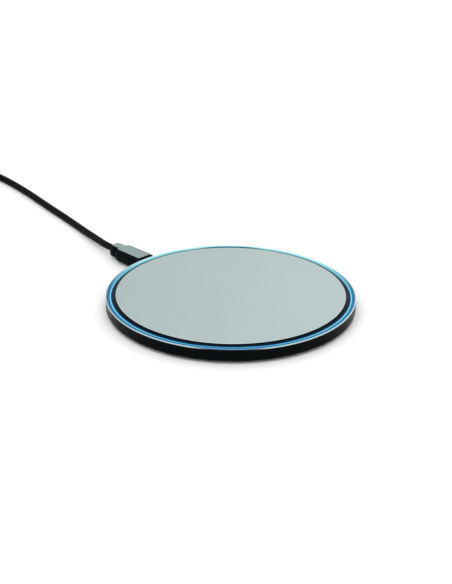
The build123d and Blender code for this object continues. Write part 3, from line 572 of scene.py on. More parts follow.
def add_piece(name, mesh, finish, body, slot, stands_for=(), sharp=35.0):
    """Links a mesh, gives it its material unless it has one, and lets it ride on a body."""
    mesh.name = name
    made = linked(name, mesh)
    if finish is not None:
        mesh.materials.clear()
        mesh.materials.append(finish)
    for face in mesh.polygons:
        face.use_smooth = True
    mesh.set_sharp_from_angle(angle=radians(sharp))
    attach(made, body)
    if stands_for:
        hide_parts(*stands_for)


def mesh_from(points, faces):
    """A mesh with outward faces."""
    mesh = bpy.data.meshes.new("shape")
    mesh.from_pydata([tuple(p) for p in points], [], faces)
    work = bmesh.new()
    work.from_mesh(mesh)
    bmesh.ops.remove_doubles(work, verts=work.verts, dist=1e-7)
    bmesh.ops.recalc_face_normals(work, faces=work.faces)
    work.to_mesh(mesh)
    work.free()
    mesh.update()
    return mesh


def rounded(corners, steps=4):
    """Outline points from (a, b, radius) corners of a closed outline, with an arc at each."""
    outline = []
    count = len(corners)
    for i, (a, b, radius) in enumerate(corners):
        here = Vector((a, b))
        before = Vector(corners[i - 1][:2]) - here
        after = Vector(corners[(i + 1) % count][:2]) - here
        if not radius:
            outline.append(tuple(here))
            continue
        half = before.angle(after) / 2
        reach = radius / tan(half)
        centre = here + (before.normalized() + after.normalized()).normalized() * radius / sin(half)
        start = here + before.normalized() * reach - centre
        end = here + after.normalized() * reach - centre
        swing = start.angle_signed(end)
        for step in range(steps + 1):
            turn = Matrix.Rotation(-swing * step / steps, 2)
            outline.append(tuple(centre + turn @ start))
    return outline


def turned(outline, angles):
    """Points of a (radius, height) outline at each of these angles about the pad's axis."""
    return [(r * cos(angle), r * sin(angle), z) for angle in angles for r, z in outline]


def strip(a, b, count):
    """Faces between two closed rings of points that start at a and at b."""
    return [(a + j, a + (j + 1) % count, b + (j + 1) % count, b + j) for j in range(count)]


def lathe(outline, segments, start=0.0, sweep=2 * pi):
    """Turns a closed (radius, height) outline about the pad's axis, all the way or part of it."""
    whole = abs(sweep - 2 * pi) < 1e-6
    rings = segments if whole else segments + 1
    points = turned(outline, [start + sweep * i / segments for i in range(rings)])
    count = len(outline)
    faces = []
    for i in range(segments):
        faces += strip(i * count, (i + 1) % rings * count, count)
    if not whole:
        faces.append(tuple(range(count)))
        faces.append(tuple(range((rings - 1) * count, rings * count)))
    return mesh_from(points, faces)


def capped_disc(outline, segments):
    """A turned disc whose axis is closed by one small fan above and one below."""
    count = len(outline)
    points = turned(outline, [2 * pi * i / segments for i in range(segments)])
    bottom, top = len(points), len(points) + 1
    points += [(0, 0, outline[0][1]), (0, 0, outline[-1][1])]
    faces = []
    for i in range(segments):
        a, b = i * count, (i + 1) % segments * count
        faces += [(a + j, b + j, b + j + 1, a + j + 1) for j in range(count - 1)]
        faces += [(a, b, bottom), (a + count - 1, b + count - 1, top)]
    return mesh_from(points, faces)


def section(half_w, half_h, corner, steps):
    """Rounded rectangle about (0, 0)."""
    corners = [(half_w, -half_h), (half_w, half_h), (-half_w, half_h), (-half_w, -half_h)]
    return rounded([(a, b, corner) for a, b in corners], steps)


def loft(stations, place, steps):
    """A closed body through (distance, half width, half height, corner) stations along an axis."""
    rings = [
        [place @ Vector((a, b, distance)) for a, b in section(half_w, half_h, corner, steps)]
        for distance, half_w, half_h, corner in stations
    ]
    return skin_rings(rings)


def skin_rings(rings):
    """A closed mesh through rings of points, with its ends capped."""
    count = len(rings[0])
    points = [p for ring in rings for p in ring]
    faces = []
    for i in range(len(rings) - 1):
        faces += strip(i * count, (i + 1) * count, count)
    faces.append(tuple(range(count)))
    faces.append(tuple(range(len(points) - count, len(points))))
    return mesh_from(points, faces)


def slab(outline, bottom, top, edge):
    """A flat plate from an (x, y) outline, with a small bevel round its top."""
    inner = offset_outline(outline, edge)
    rings = [
        [Vector((x, y, bottom)) for x, y in outline],
        [Vector((x, y, top - edge)) for x, y in outline],
        [Vector((x, y, top)) for x, y in inner],
    ]
    return skin_rings(rings)


def offset_outline(outline, inwards):
    """The outline moved in by a small distance."""
    moved = []
    count = len(outline)
    for i, point in enumerate(outline):
        here = Vector(point)
        along = (Vector(outline[(i + 1) % count]) - Vector(outline[i - 1])).normalized()
        moved.append(tuple(here + Vector((-along.y, along.x)) * inwards))
    return moved


def softened(node, name, finish, body, slot, width, segments=2):
    """A CAD node's shape with its seams merged, flat faces joined and sharp edges rounded."""
    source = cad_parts[node].data
    work = bmesh.new()
    work.from_mesh(source)
    bmesh.ops.remove_doubles(work, verts=work.verts, dist=1e-7)
    bmesh.ops.dissolve_limit(work, angle_limit=radians(0.5), verts=work.verts, edges=work.edges)
    mesh = bpy.data.meshes.new(name)
    work.to_mesh(mesh)
    work.free()
    if mesh.has_custom_normals:
        mesh.attributes.remove(mesh.attributes["custom_normal"])
    shell = linked("work", mesh)
    bevel = shell.modifiers.new("edges", "BEVEL")
    bevel.width = width
    bevel.segments = segments
    bevel.limit_method = "ANGLE"
    bevel.angle_limit = radians(40)
    bevel.use_clamp_overlap = True
    add_piece(name, finished_mesh(shell), finish, body, slot, (node,))


def soften_all(body, rows):
    """Softens several CAD nodes: (node, new name, finish, slot, bevel in millimetres)."""
    for node, name, finish, slot, width in rows:
        softened(node, name, finish, body, slot, width * MM)


def finished_mesh(work):
    """The evaluated mesh of a working object, which is then removed."""
    bpy.context.view_layer.update()
    seen = work.evaluated_get(bpy.context.evaluated_depsgraph_get())
    mesh = bpy.data.meshes.new_from_object(seen)
    bpy.data.objects.remove(work)
    return mesh


# ---- geometry node trees --------------------------------------------------------------------
class Pattern(Graph):
    """A Geometry Nodes tree with named inputs, run once and turned into a plain mesh."""

    def __init__(self, name, inputs):
        tree = bpy.data.node_groups.new(name, "GeometryNodeTree")
        super().__init__(tree)
        tree.interface.new_socket("Geometry", in_out="OUTPUT", socket_type="NodeSocketGeometry")
        self.values = {}
        self.keys = {}
        for label, (kind, value) in inputs.items():
            made = tree.interface.new_socket(label, in_out="INPUT", socket_type="NodeSocket" + kind)
            self.keys[label] = (made.identifier, value)
        entry = tree.nodes.new("NodeGroupInput")
        for label in inputs:
            self.values[label] = Wire(self, entry.outputs[label])

    def run(self, shape, finish):
        """Ends the tree in real geometry with this material, and returns its mesh."""
        real = self.node("GeometryNodeRealizeInstances", None, {"Geometry": shape})
        coated = self.node("GeometryNodeSetMaterial", None, {"Geometry": real, "Material": finish})
        self.node("NodeGroupOutput", None, {0: coated})
        holder = linked("pattern", bpy.data.meshes.new("pattern"))
        modifier = holder.modifiers.new("pattern", "NODES")
        modifier.node_group = self.tree
        for identifier, value in self.keys.values():
            modifier[identifier] = value
        return finished_mesh(holder)


def copies(name, template, finish, inputs, lay_out):
    """Copies of a template mesh at the points that lay_out adds to the tree."""
    model = linked(name + "_model", template)
    pattern = Pattern(name, {"Model": ("Object", model), **inputs})
    feeds = {"Object": pattern.values["Model"]}
    one = pattern.node("GeometryNodeObjectInfo", None, feeds, output=4)
    feeds = {"Points": lay_out(pattern, pattern.values), "Instance": one}
    mesh = pattern.run(pattern.node("GeometryNodeInstanceOnPoints", None, feeds), finish)
    bpy.data.objects.remove(model)
    return mesh


def ring_of(name, template, finish, count, radius, start):
    """Copies of a template mesh at even places on a circle about the pad's axis."""

    def lay_out(pattern, value):
        feeds = {"Vertices": value["Count"], "Radius": value["Circle radius"]}
        circle = pattern.node("GeometryNodeMeshCircle", None, feeds)
        spin = pattern.node("ShaderNodeCombineXYZ", None, {"Z": value["Start angle"]})
        feeds = {"Geometry": circle, "Rotation": spin}
        return pattern.node("GeometryNodeTransform", None, feeds)

    inputs = {
        "Count": ("Int", count),
        "Circle radius": ("Float", radius),
        "Start angle": ("Float", start),
    }
    return copies(name, template, finish, inputs, lay_out)


def row_of(name, template, finish, count, first, gap):
    """Copies of a template mesh in a straight row."""

    def lay_out(pattern, value):
        feeds = {
            "Count": value["Count"],
            "Start Location": value["First place"],
            "Offset": value["Step"],
        }
        return pattern.node("GeometryNodeMeshLine", {"mode": "OFFSET"}, feeds)

    inputs = {
        "Count": ("Int", count),
        "First place": ("Vector", tuple(first)),
        "Step": ("Vector", tuple(gap)),
    }
    return copies(name, template, finish, inputs, lay_out)


# ---- sizes and colours a user may change ----------------------------------------------------
def tint(name, description, default):
    """A colour that a user may change."""
    return bpy.props.FloatVectorProperty(
        name=name, description=description, default=default, subtype="COLOR"
    )


def number(name, description, default, **kind):
    """A number that a user may change."""
    return bpy.props.FloatProperty(name=name, description=description, default=default, **kind)


class PadLook(bpy.types.PropertyGroup):
    """Colours of the pad, and how finely it is turned."""

    silver: tint("Silver", "Colour of the top plate's paint", (0.36, 0.447, 0.44))
    black: tint("Black", "Colour of the case moulding", (0.0012, 0.0024, 0.0029))
    glow: tint("Glow", "Brightest colour of the light ring", (0.26, 0.74, 0.99))
    far_glow: tint("Far glow", "Colour of the light ring at the back", (0.30, 0.68, 0.72))
    deep_glow: tint("Deep glow", "Darker colour of the light ring", (0.0, 0.18, 0.36))
    segments: bpy.props.IntProperty(
        name="Segments", description="Faces round each turned piece", default=256, min=32, max=512
    )


class CordLook(bpy.types.PropertyGroup):
    """Sizes and colours of the lead."""

    length: number("Length", "Real length of the cord", 1.0, unit="LENGTH")
    diameter: number("Diameter", "Outside diameter of the cord", CORD_D, unit="LENGTH")
    jacket: tint("Jacket", "Colour of the cord and its plugs", (0.0028, 0.0045, 0.005))
    inlay: tint("Inlay", "Colour of the device plug's top", (0.245, 0.315, 0.31))


class StageLook(bpy.types.PropertyGroup):
    """The studio."""

    azimuth: number("Azimuth", "Where the camera looks from", radians(-44.5), subtype="ANGLE")
    elevation: number("Elevation", "How far it looks down", radians(24.561), subtype="ANGLE")
    roll: number("Roll", "The camera's lean", radians(0.586), subtype="ANGLE")
    distance: number("Distance", "From the camera to its target", 0.6516, unit="LENGTH")
    lens: number("Lens", "Focal length in millimetres", 97.9)
    floor: tint("Floor", "Colour of the floor", (0.97, 0.972, 0.972))
    sky: number("Sky", "Strength of the even light", 0.9)
    key: number("Key", "Power of the large soft light", 2.4, unit="POWER")


# ---- operators ------------------------------------------------------------------------------
class CHARGER_OT_stage(bpy.types.Operator):
    """Sets up the floor, the soft lights and the camera"""

    bl_idname = "charger.stage"
    bl_label = "Stage"

    def execute(self, context):
        look = context.scene.charger_stage
        self.add_floor(look)
        self.add_light("key", (-0.35, -0.25, 0.75), 0.9, look.key)
        self.add_light("fill", (0.7, 0.3, 0.55), 0.8, look.key * 0.35)
        world = bpy.data.worlds.new("studio")
        world.use_nodes = True
        world.node_tree.nodes["Background"].inputs["Color"].default_value = (1.0, 1.0, 1.0, 1.0)
        world.node_tree.nodes["Background"].inputs["Strength"].default_value = look.sky
        context.scene.world = world
        context.scene.view_settings.view_transform = "Standard"
        self.add_camera(context, look)
        return {"FINISHED"}

    def add_floor(self, look):
        size = 4.0
        corners = [(-size, -size, 0), (size, -size, 0), (size, size, 0), (-size, size, 0)]
        mesh = bpy.data.meshes.new("floor")
        mesh.from_pydata(corners, [], [(0, 1, 2, 3)])
        floor = linked("floor", mesh)
        mesh.materials.append(pale_floor(look))

    def add_light(self, name, place, size, power):
        data = bpy.data.lights.new(name, "AREA")
        data.shape = "DISK"
        data.size = size
        data.energy = power
        lamp = linked(name, data)
        lamp.location = place
        lamp.rotation_mode = "QUATERNION"
        lamp.rotation_quaternion = (-Vector(place)).to_track_quat("-Z", "Y")

    def add_camera(self, context, look):
        turn, tilt = look.azimuth, look.elevation
        back = Vector((sin(turn) * cos(tilt), -cos(turn) * cos(tilt), sin(tilt)))
        right = Vector((cos(turn), sin(turn), 0.0))
        up = back.cross(right)
        across = right * cos(look.roll) + up * sin(look.roll)
        upright = up * cos(look.roll) - right * sin(look.roll)
        data = bpy.data.cameras.new("camera")
        data.lens = look.lens
        data.sensor_width = 36.0
        data.clip_start = 0.01
        data.clip_end = 50.0
        camera = linked("camera", data)
        spot = CAMERA_TARGET + back * look.distance
        camera.matrix_world = placed(across, upright, back, spot)
        context.scene.camera = camera


def coil_points():
    """Control points of the coil's turns: inwards along the floor, up one layer, and out again."""
    inner = COIL_OUTER_R - CORD_D * COIL_TURNS / 2
    steps = round(COIL_TURNS * COIL_STEPS)
    fill_out = 1 / cos(pi / COIL_STEPS) ** 0.7
    points = []
    for i in range(1, steps + 1):
        turns = COIL_TURNS * i / steps
        from_middle = turns - COIL_TURNS / 2
        radius = (inner + CORD_D * abs(from_middle)) * fill_out
        climb = min(1.0, max(0.0, from_middle / CLIMB_TURNS + 0.5))
        angle = 2 * pi * turns
        off_tie = (degrees(angle) - TIE_ANGLE + 180) % 360 - 180
        lift = TIE_T * max(0.0, 1 - abs(off_tie) / TIE_LIFT_SPREAD) ** 0.5
        height = CORD_D * (0.5 + climb) + lift
        points.append(COIL_CENTRE + Vector((radius * cos(angle), radius * sin(angle), height)))
    return points


class CHARGER_OT_cord(bpy.types.Operator):
    """Makes the cord, from the device plug's collar through the coil to the far plug"""

    bl_idname = "charger.cord"
    bl_label = "Cord"

    def execute(self, context):
        look = context.scene.charger_cord
        points = [Vector(p) for p in RUN_ROUTE] + coil_points() + [Vector(p) for p in TAIL_ROUTE]
        curve = bpy.data.curves.new("lead_cord", "CURVE")
        curve.dimensions = "3D"
        spline = curve.splines.new("NURBS")
        spline.points.add(len(points) - 1)
        for place, point in zip(spline.points, points):
            place.co = (*point, 1.0)
        spline.order_u = 3
        spline.use_endpoint_u = True
        curve.resolution_u = 6
        curve.bevel_depth = look.diameter / 2
        curve.bevel_resolution = 5
        curve.use_fill_caps = True
        cord = linked("lead_cord", curve)
        curve.materials.append(moulded_skin("cord_jacket", look.jacket, 0.5, 0.1))
        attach(cord, "cable")
        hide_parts("cord_run", "cord_coil", "cord_tail")
        return {"FINISHED"}


class CHARGER_OT_top(bpy.types.Operator):
    """Makes the silver plate and finishes the black cover round it"""

    bl_idname = "charger.top"
    bl_label = "Top plate and cover"

    def execute(self, context):
        look = context.scene.charger_pad
        outline = rounded(
            [
                (0.2 * MM, PLATE_BOTTOM, 0),
                (PLATE_R, PLATE_BOTTOM, 0.05 * MM),
                (PLATE_R, PLATE_TOP - 0.22 * MM, 0.1 * MM),
                (PLATE_R - 0.25 * MM, PLATE_TOP, 0.12 * MM),
                (0.2 * MM, PLATE_TOP, 0),
            ]
        )
        mesh = capped_disc(outline, look.segments)
        add_piece("plate_disc", mesh, silver_paint(look), "pad", "plate_silver", ("top_plate",))
        # the cover gets a painted blue reflection of the ring's light near its outer edge
        gloss = black_gloss("cover_gloss", look.black, 0.24, 0.12, lit_from=PLATE_R + 0.45 * MM)
        repaint("top_cover", gloss)
        return {"FINISHED"}


class CHARGER_OT_rings(bpy.types.Operator):
    """Makes the light ring with its two crests and the plated trim ring outside it, with the ring's
    light painted on the trim
    """

    bl_idname = "charger.rings"
    bl_label = "Light ring and trim"

    def execute(self, context):
        look = context.scene.charger_pad
        width = RING_OUTER - RING_INNER
        valley = RING_INNER + width * 0.5
        crest = 0.16 * MM
        lens = rounded(
            [
                (RING_INNER, LEDGE_Z, 0),
                (RING_OUTER, LEDGE_Z, 0),
                (RING_OUTER, RING_TOP - crest, crest * 0.8),
                (RING_OUTER - crest * 1.6, RING_TOP, crest),
                (valley + crest * 2.2, RING_TOP, crest),
                (valley, RING_TOP - crest * 1.8, crest * 0.6),
                (valley - crest * 2.2, RING_TOP, crest),
                (RING_INNER + crest * 1.6, RING_TOP, crest),
                (RING_INNER, RING_TOP - crest, crest * 0.8),
            ],
            3,
        )
        glow = lit_acrylic(look)
        ring = lathe(lens, look.segments)
        add_piece("light_ring", ring, glow, "pad", "light_blue", ("light_guide",))
        # the skirt under the ring reaches down to the lamps, and stops either side of the socket
        skirt = [
            (SKIRT_INNER, SKIRT_BOTTOM),
            (SKIRT_OUTER, SKIRT_BOTTOM),
            (SKIRT_OUTER, LEDGE_Z),
            (RING_INNER, LEDGE_Z),
            (RING_INNER, COVER_UNDERSIDE),
            (SKIRT_INNER, COVER_UNDERSIDE),
        ]
        gap = asin(SOCKET_WINDOW_HALF / SKIRT_INNER)
        part = lathe(skirt, look.segments, pi / 2 + gap, 2 * pi - 2 * gap)
        add_piece("light_skirt", part, glow, "pad", "light_blue")
        bead = rounded(
            [
                (TRIM_INNER, WALL_TOP, 0),
                (PAD_R, WALL_TOP, 0.03 * MM),
                (PAD_R, RING_TOP, 0.2 * MM),
                (TRIM_INNER, RING_TOP, 0.1 * MM),
            ],
            5,
        )
        trim = lathe(bead, look.segments)
        add_piece("trim_bead", trim, plated_trim(), "pad", "trim_silver", ("trim_ring",))
        return {"FINISHED"}


class CHARGER_OT_case(bpy.types.Operator):
    """Finishes the case, and makes its rubber feet and screws"""

    bl_idname = "charger.case"
    bl_label = "Case, feet and screws"

    def execute(self, context):
        look = context.scene.charger_pad
        repaint("bottom_case", black_gloss("case_gloss", look.black, 0.28, 0.14))
        film = grained("blank_film", (0.30, 0.31, 0.32), (0.38, 0.39, 0.40), 0.0004, 0.45)
        repaint("underside_label", film)
        self.add_feet()
        self.add_screws()
        return {"FINISHED"}

    def add_feet(self):
        """Discs with three moulded grooves under them."""
        hub = 0.1 * MM
        groove = 0.18 * MM
        corners = [
            (hub, FOOT_TOP, 0),
            (FOOT_R, FOOT_TOP, 0.1 * MM),
            (FOOT_R, 0.3 * MM, 0.25 * MM),
            (FOOT_R - 0.35 * MM, 0.0, 0.15 * MM),
        ]
        for ring in (4.2, 2.8, 1.4):
            corners.append((ring * MM + 0.3 * MM, 0.0, 0.08 * MM))
            corners.append((ring * MM + 0.1 * MM, groove, 0.05 * MM))
            corners.append((ring * MM - 0.1 * MM, groove, 0.05 * MM))
            corners.append((ring * MM - 0.3 * MM, 0.0, 0.08 * MM))
        corners.append((hub, 0.0, 0))
        template = capped_disc(list(reversed(rounded(corners, 2))), 64)
        circle = (high("rubber_feet").x - FOOT_R) / cos(radians(45))
        mesh = ring_of("feet_pattern", template, foot_rubber(), 4, circle, radians(45))
        add_piece("grip_feet", mesh, None, "pad", "foot_rubber", ("rubber_feet",), 50.0)

    def add_screws(self):
        """The screws' CAD shape with softened edges."""
        steel = sheet_steel("screw_steel")
        softened("case_screws", "cover_screws", steel, "pad", "steel", 0.08 * MM)


class CHARGER_OT_device_plug(bpy.types.Operator):
    """Makes the device plug's moulded body, its grey top and grips, and finishes its metal"""

    bl_idname = "charger.device_plug"
    bl_label = "Device plug"

    def execute(self, context):
        look = context.scene.charger_cord
        jacket = moulded_skin("plug_moulding", look.jacket, 0.4, 0.07)
        place = placed((1, 0, 0), (0, 0, 1), (0, 1, 0), (0, 0, PORT_Z))
        half_w, end, collar = BODY_HALF, BODY_END, COLLAR_START
        half_h = (BODY_TOP - BODY_BOTTOM) / 2 - 0.06 * MM
        corner = 1.3 * MM
        stations = [
            (BODY_FRONT, half_w - 0.45 * MM, half_h - 0.45 * MM, corner),
            (BODY_FRONT + 0.12 * MM, half_w - 0.15 * MM, half_h - 0.15 * MM, corner),
            (BODY_FRONT + 0.45 * MM, half_w, half_h, corner),
            (end - 1.4 * MM, half_w, half_h, corner),
            (end - 0.5 * MM, half_w - 0.15 * MM, half_h - 0.03 * MM, corner),
            (end - 0.1 * MM, half_w - 0.6 * MM, half_h - 0.12 * MM, corner),
            (end, half_w - 1.0 * MM, half_h - 0.2 * MM, corner * 0.9),
            (end + 0.15 * MM, 2.35 * MM, half_h - 0.24 * MM, 1.0 * MM),
            (collar - 0.15 * MM, 2.35 * MM, half_h - 0.24 * MM, 1.0 * MM),
            (collar, 2.8 * MM, half_h - 0.12 * MM, 1.1 * MM),
            (collar + 0.4 * MM, 3.05 * MM, half_h - 0.08 * MM, 1.2 * MM),
            (COLLAR_END - 0.6 * MM, 2.75 * MM, half_h - 0.12 * MM, 1.2 * MM),
            (COLLAR_END - 0.15 * MM, 2.5 * MM, half_h - 0.25 * MM, 1.1 * MM),
            (COLLAR_END, 2.1 * MM, half_h - 0.6 * MM, 0.9 * MM),
        ]
        body = loft(stations, place, 5)
        add_piece("micro_plug_body", body, jacket, "cable", "plug_black", ("usb_plug_body",), 60.0)
        self.add_inlay(look)
        self.add_grips(jacket)
        steel = sheet_steel("micro_shell_steel")
        dark = grained("port_insulator", (0.010, 0.010, 0.011), (0.022, 0.022, 0.024), 0.0003, 0.45)
        rows = [
            ("usb_plug_shell", "micro_plug_shell", steel, "steel", 0.06),
            ("usb_plug_latches", "micro_plug_latches", steel, "steel", 0.04),
            ("usb_plug_core", "micro_plug_core", dark, "port_plastic", 0.04),
            ("usb_plug_contacts", "micro_plug_contacts", gold_flash(), "gold", 0.03),
        ]
        soften_all("cable", rows)
        return {"FINISHED"}

    def add_inlay(self, look):
        """Flat grey panel let into the top, from the front edge back over the collar."""
        front, back = low("usb_plug_inlay").y, high("usb_plug_inlay").y
        wide, neck, flare = high("usb_plug_inlay").x, 1.7 * MM, 1.9 * MM
        corners = [
            (wide, front, 0.25 * MM),
            (wide, BODY_END - 0.5 * MM, 0.4 * MM),
            (neck, BODY_END, 0.2 * MM),
            (neck, COLLAR_START - 0.5 * MM, 0.2 * MM),
            (flare, COLLAR_START + 0.5 * MM, 0.3 * MM),
            (neck, back, 0.35 * MM),
        ]
        mirrored = [(-x, y, radius) for x, y, radius in reversed(corners)]
        outline = rounded(corners + mirrored, 4)
        bottom, top = low("usb_plug_inlay").z, high("usb_plug_inlay").z
        mesh = slab(outline, bottom, top, 0.05 * MM)
        grey = moulded_skin("inlay_grey", look.inlay, 0.42, 0.3)
        add_piece("micro_plug_inlay", mesh, grey, "cable", "inlay_grey", ("usb_plug_inlay",), 30.0)

    def add_grips(self, jacket):
        """Low ribs on both sides of the body."""
        count = 7
        gap = 1.15 * MM
        for side, name in ((1, "micro_plug_grip_right"), (-1, "micro_plug_grip_left")):
            outline = section(0.16 * MM, 0.28 * MM, 0.12 * MM, 3)
            rings = []
            for height, squeeze in ((-1.25, 0.3), (-1.1, 1.0), (1.1, 1.0), (1.25, 0.3)):
                rings.append([Vector((a * squeeze, b * squeeze, height * MM)) for a, b in outline])
            rib = skin_rings(rings)
            start = (side * (BODY_HALF - 0.02 * MM), BODY_END - 1.9 * MM, PORT_Z)
            mesh = row_of(name + "_pattern", rib, jacket, count, start, (0, -gap, 0))
            add_piece(name, mesh, None, "cable", "plug_black", (), 50.0)


class CHARGER_OT_socket(bpy.types.Operator):
    """Finishes the socket in the wall"""

    bl_idname = "charger.socket"
    bl_label = "Socket"

    def execute(self, context):
        dark = grained("tongue_plastic", (0.008, 0.008, 0.009), (0.018, 0.018, 0.02), 0.0003, 0.4)
        rows = [
            ("usb_socket_shell", "socket_shell", sheet_steel("socket_steel"), "steel", 0.06),
            ("usb_socket_tongue", "socket_tongue", dark, "port_plastic", 0.04),
            ("usb_socket_contacts", "socket_contacts", gold_flash(), "gold", 0.03),
        ]
        soften_all("pad", rows)
        return {"FINISHED"}


class CHARGER_OT_far_plug(bpy.types.Operator):
    """Makes the far plug's moulded body with its ribbed relief, and finishes its metal"""

    bl_idname = "charger.far_plug"
    bl_label = "Far plug"

    def execute(self, context):
        look = context.scene.charger_cord
        jacket = moulded_skin("far_plug_moulding", look.jacket, 0.4, 0.1)
        root = Vector(TAIL_ROUTE[-1])
        heading = (root - Vector(TAIL_ROUTE[-2])).normalized()
        side = Vector((-heading.y, heading.x, 0.0))
        place = placed(side, (0, 0, 1), heading, root)
        half_w, half_h = 7.7 * MM, 3.8 * MM
        start, end = 8.0 * MM, 29.0 * MM
        stations = [
            (start, half_w - 2.2 * MM, half_h - 1.2 * MM, 1.8 * MM),
            (start + 0.3 * MM, half_w - 1.0 * MM, half_h - 0.5 * MM, 2.0 * MM),
            (start + 1.2 * MM, half_w - 0.25 * MM, half_h - 0.1 * MM, 2.3 * MM),
            (start + 3.0 * MM, half_w, half_h, 2.4 * MM),
            (end - 7.0 * MM, half_w, half_h, 2.4 * MM),
            (end - 5.6 * MM, half_w - 0.35 * MM, half_h, 2.4 * MM),
            (end - 1.4 * MM, half_w - 0.35 * MM, half_h, 2.4 * MM),
            (end - 0.5 * MM, half_w - 0.5 * MM, half_h - 0.15 * MM, 2.3 * MM),
            (end - 0.1 * MM, half_w - 0.9 * MM, half_h - 0.5 * MM, 2.0 * MM),
            (end, half_w - 1.2 * MM, half_h - 0.8 * MM, 1.8 * MM),
        ]
        body = loft(stations, place, 6)
        add_piece("far_plug_body", body, jacket, "cable", "plug_black", ("host_plug_body",), 60.0)
        self.add_relief(place, jacket, start)
        steel = sheet_steel("far_shell_steel", along=-atan2(heading.x, heading.y))
        softened("host_plug_shell", "far_plug_shell", steel, "cable", "steel", 0.12 * MM, 3)
        white = grained("far_insulator", (0.55, 0.56, 0.57), (0.68, 0.69, 0.70), 0.0004, 0.4)
        rows = [
            ("host_plug_core", "far_plug_core", white, "port_plastic", 0.08),
            ("host_plug_contacts", "far_plug_contacts", gold_flash(), "gold", 0.04),
        ]
        soften_all("cable", rows)
        return {"FINISHED"}

    def add_relief(self, place, jacket, start):
        """Tapered sleeve with six slotted ribs."""
        profile = [(0.0, 1.62), (0.05, 1.85), (0.4, 1.95)]
        for rib in range(6):
            at, size = 0.9 + rib * 1.15, 2.05 + rib * 0.12
            profile += [(at, size), (at + 0.6, size + 0.04)]
            profile += [(at + 0.7, size - 0.32), (at + 1.05, size - 0.3)]
        profile.append((start / MM + 0.2, 2.9))
        turns = [2 * pi * i / 40 for i in range(40)]
        rings = []
        for distance, radius in profile:
            flat = [(radius * MM * cos(turn), radius * MM * sin(turn)) for turn in turns]
            rings.append([place @ Vector((a, b, distance * MM)) for a, b in flat])
        add_piece("far_plug_relief", skin_rings(rings), jacket, "cable", "plug_black", (), 28.0)


class CHARGER_OT_tie(bpy.types.Operator):
    """Makes the strap round the coil"""

    bl_idname = "charger.tie"
    bl_label = "Strap"

    def execute(self, context):
        low_r = COIL_OUTER_R - CORD_D * COIL_TURNS / 2 - CORD_D / 2 - 0.75 * MM
        high_r = COIL_OUTER_R + CORD_D / 2 + 0.15 * MM
        height = 2 * CORD_D + 2 * TIE_T
        half = (high_r - low_r) / 2 + TIE_T
        corners = [(-half, 0.0), (half, 0.0), (half, height), (-half, height)]
        loop = rounded([(a, b, 1.6 * MM) for a, b in corners], 6)
        direction = Vector((cos(radians(TIE_ANGLE)), sin(radians(TIE_ANGLE)), 0.0))
        sideways = Vector((-direction.y, direction.x, 0.0))
        centre = COIL_CENTRE + direction * (low_r + high_r) / 2
        place = placed(direction, (0, 0, 1), sideways, centre)
        strap = woven_strap()
        band = self.closed_band(loop, place, TIE_T)
        add_piece("coil_strap", band, strap, "cable", "tie_black", ("cord_tie",), 40.0)
        self.add_end(loop, place, strap)
        return {"FINISHED"}

    def closed_band(self, loop, place, thick):
        """A band round the loop, its edges a little thinner than its middle."""
        inside = offset_outline(loop, thick)
        count = len(loop)
        points, faces = [], []
        for across in STRAP_EDGES:
            thin = 0.12 * MM if abs(across) == 0.5 else 0.0
            for ring, sign in ((loop, 1), (inside, -1)):
                for a, b in offset_outline(ring, thin * sign):
                    points.append(place @ Vector((a, b, across * TIE_W)))
        for part in range(2 * (len(STRAP_EDGES) - 1)):
            faces += strip(part * count, (part + 2) * count, count)
        for start in (0, 2 * (len(STRAP_EDGES) - 1) * count):
            faces += strip(start, start + count, count)
        return mesh_from(points, faces)

    def add_end(self, loop, place, strap):
        """The strap's rounded free end, lapped over the top and pressed down on the outer side."""
        spots = [Vector(spot) for spot in loop]
        lap = [spot for spot in spots if spot.y > 2.2 * MM and spot.x > 0]
        lap.sort(key=lambda spot: spot.y - spot.x)
        lap += [Vector((x * MM, lap[-1].y)) for x in (4.0, 0.5, -2.4, -3.4, -4.1, -4.5)]
        widths = [0.49] * (len(lap) - 3) + [0.44, 0.32, 0.14]
        rings = []
        for i, spot in enumerate(lap):
            along = (lap[min(i + 1, len(lap) - 1)] - lap[max(i - 1, 0)]).normalized()
            out = Vector((along.y, -along.x))
            base, top = spot - out * 0.05 * MM, spot + out * 0.4 * MM
            half = widths[i] * TIE_W
            inset = half - 0.2 * MM
            ring = [(base, -half), (top, -inset), (top, inset), (base, half)]
            rings.append([place @ Vector((*flat, side)) for flat, side in ring])
        add_piece("coil_strap_end", skin_rings(rings), strap, "cable", "tie_black", (), 30.0)


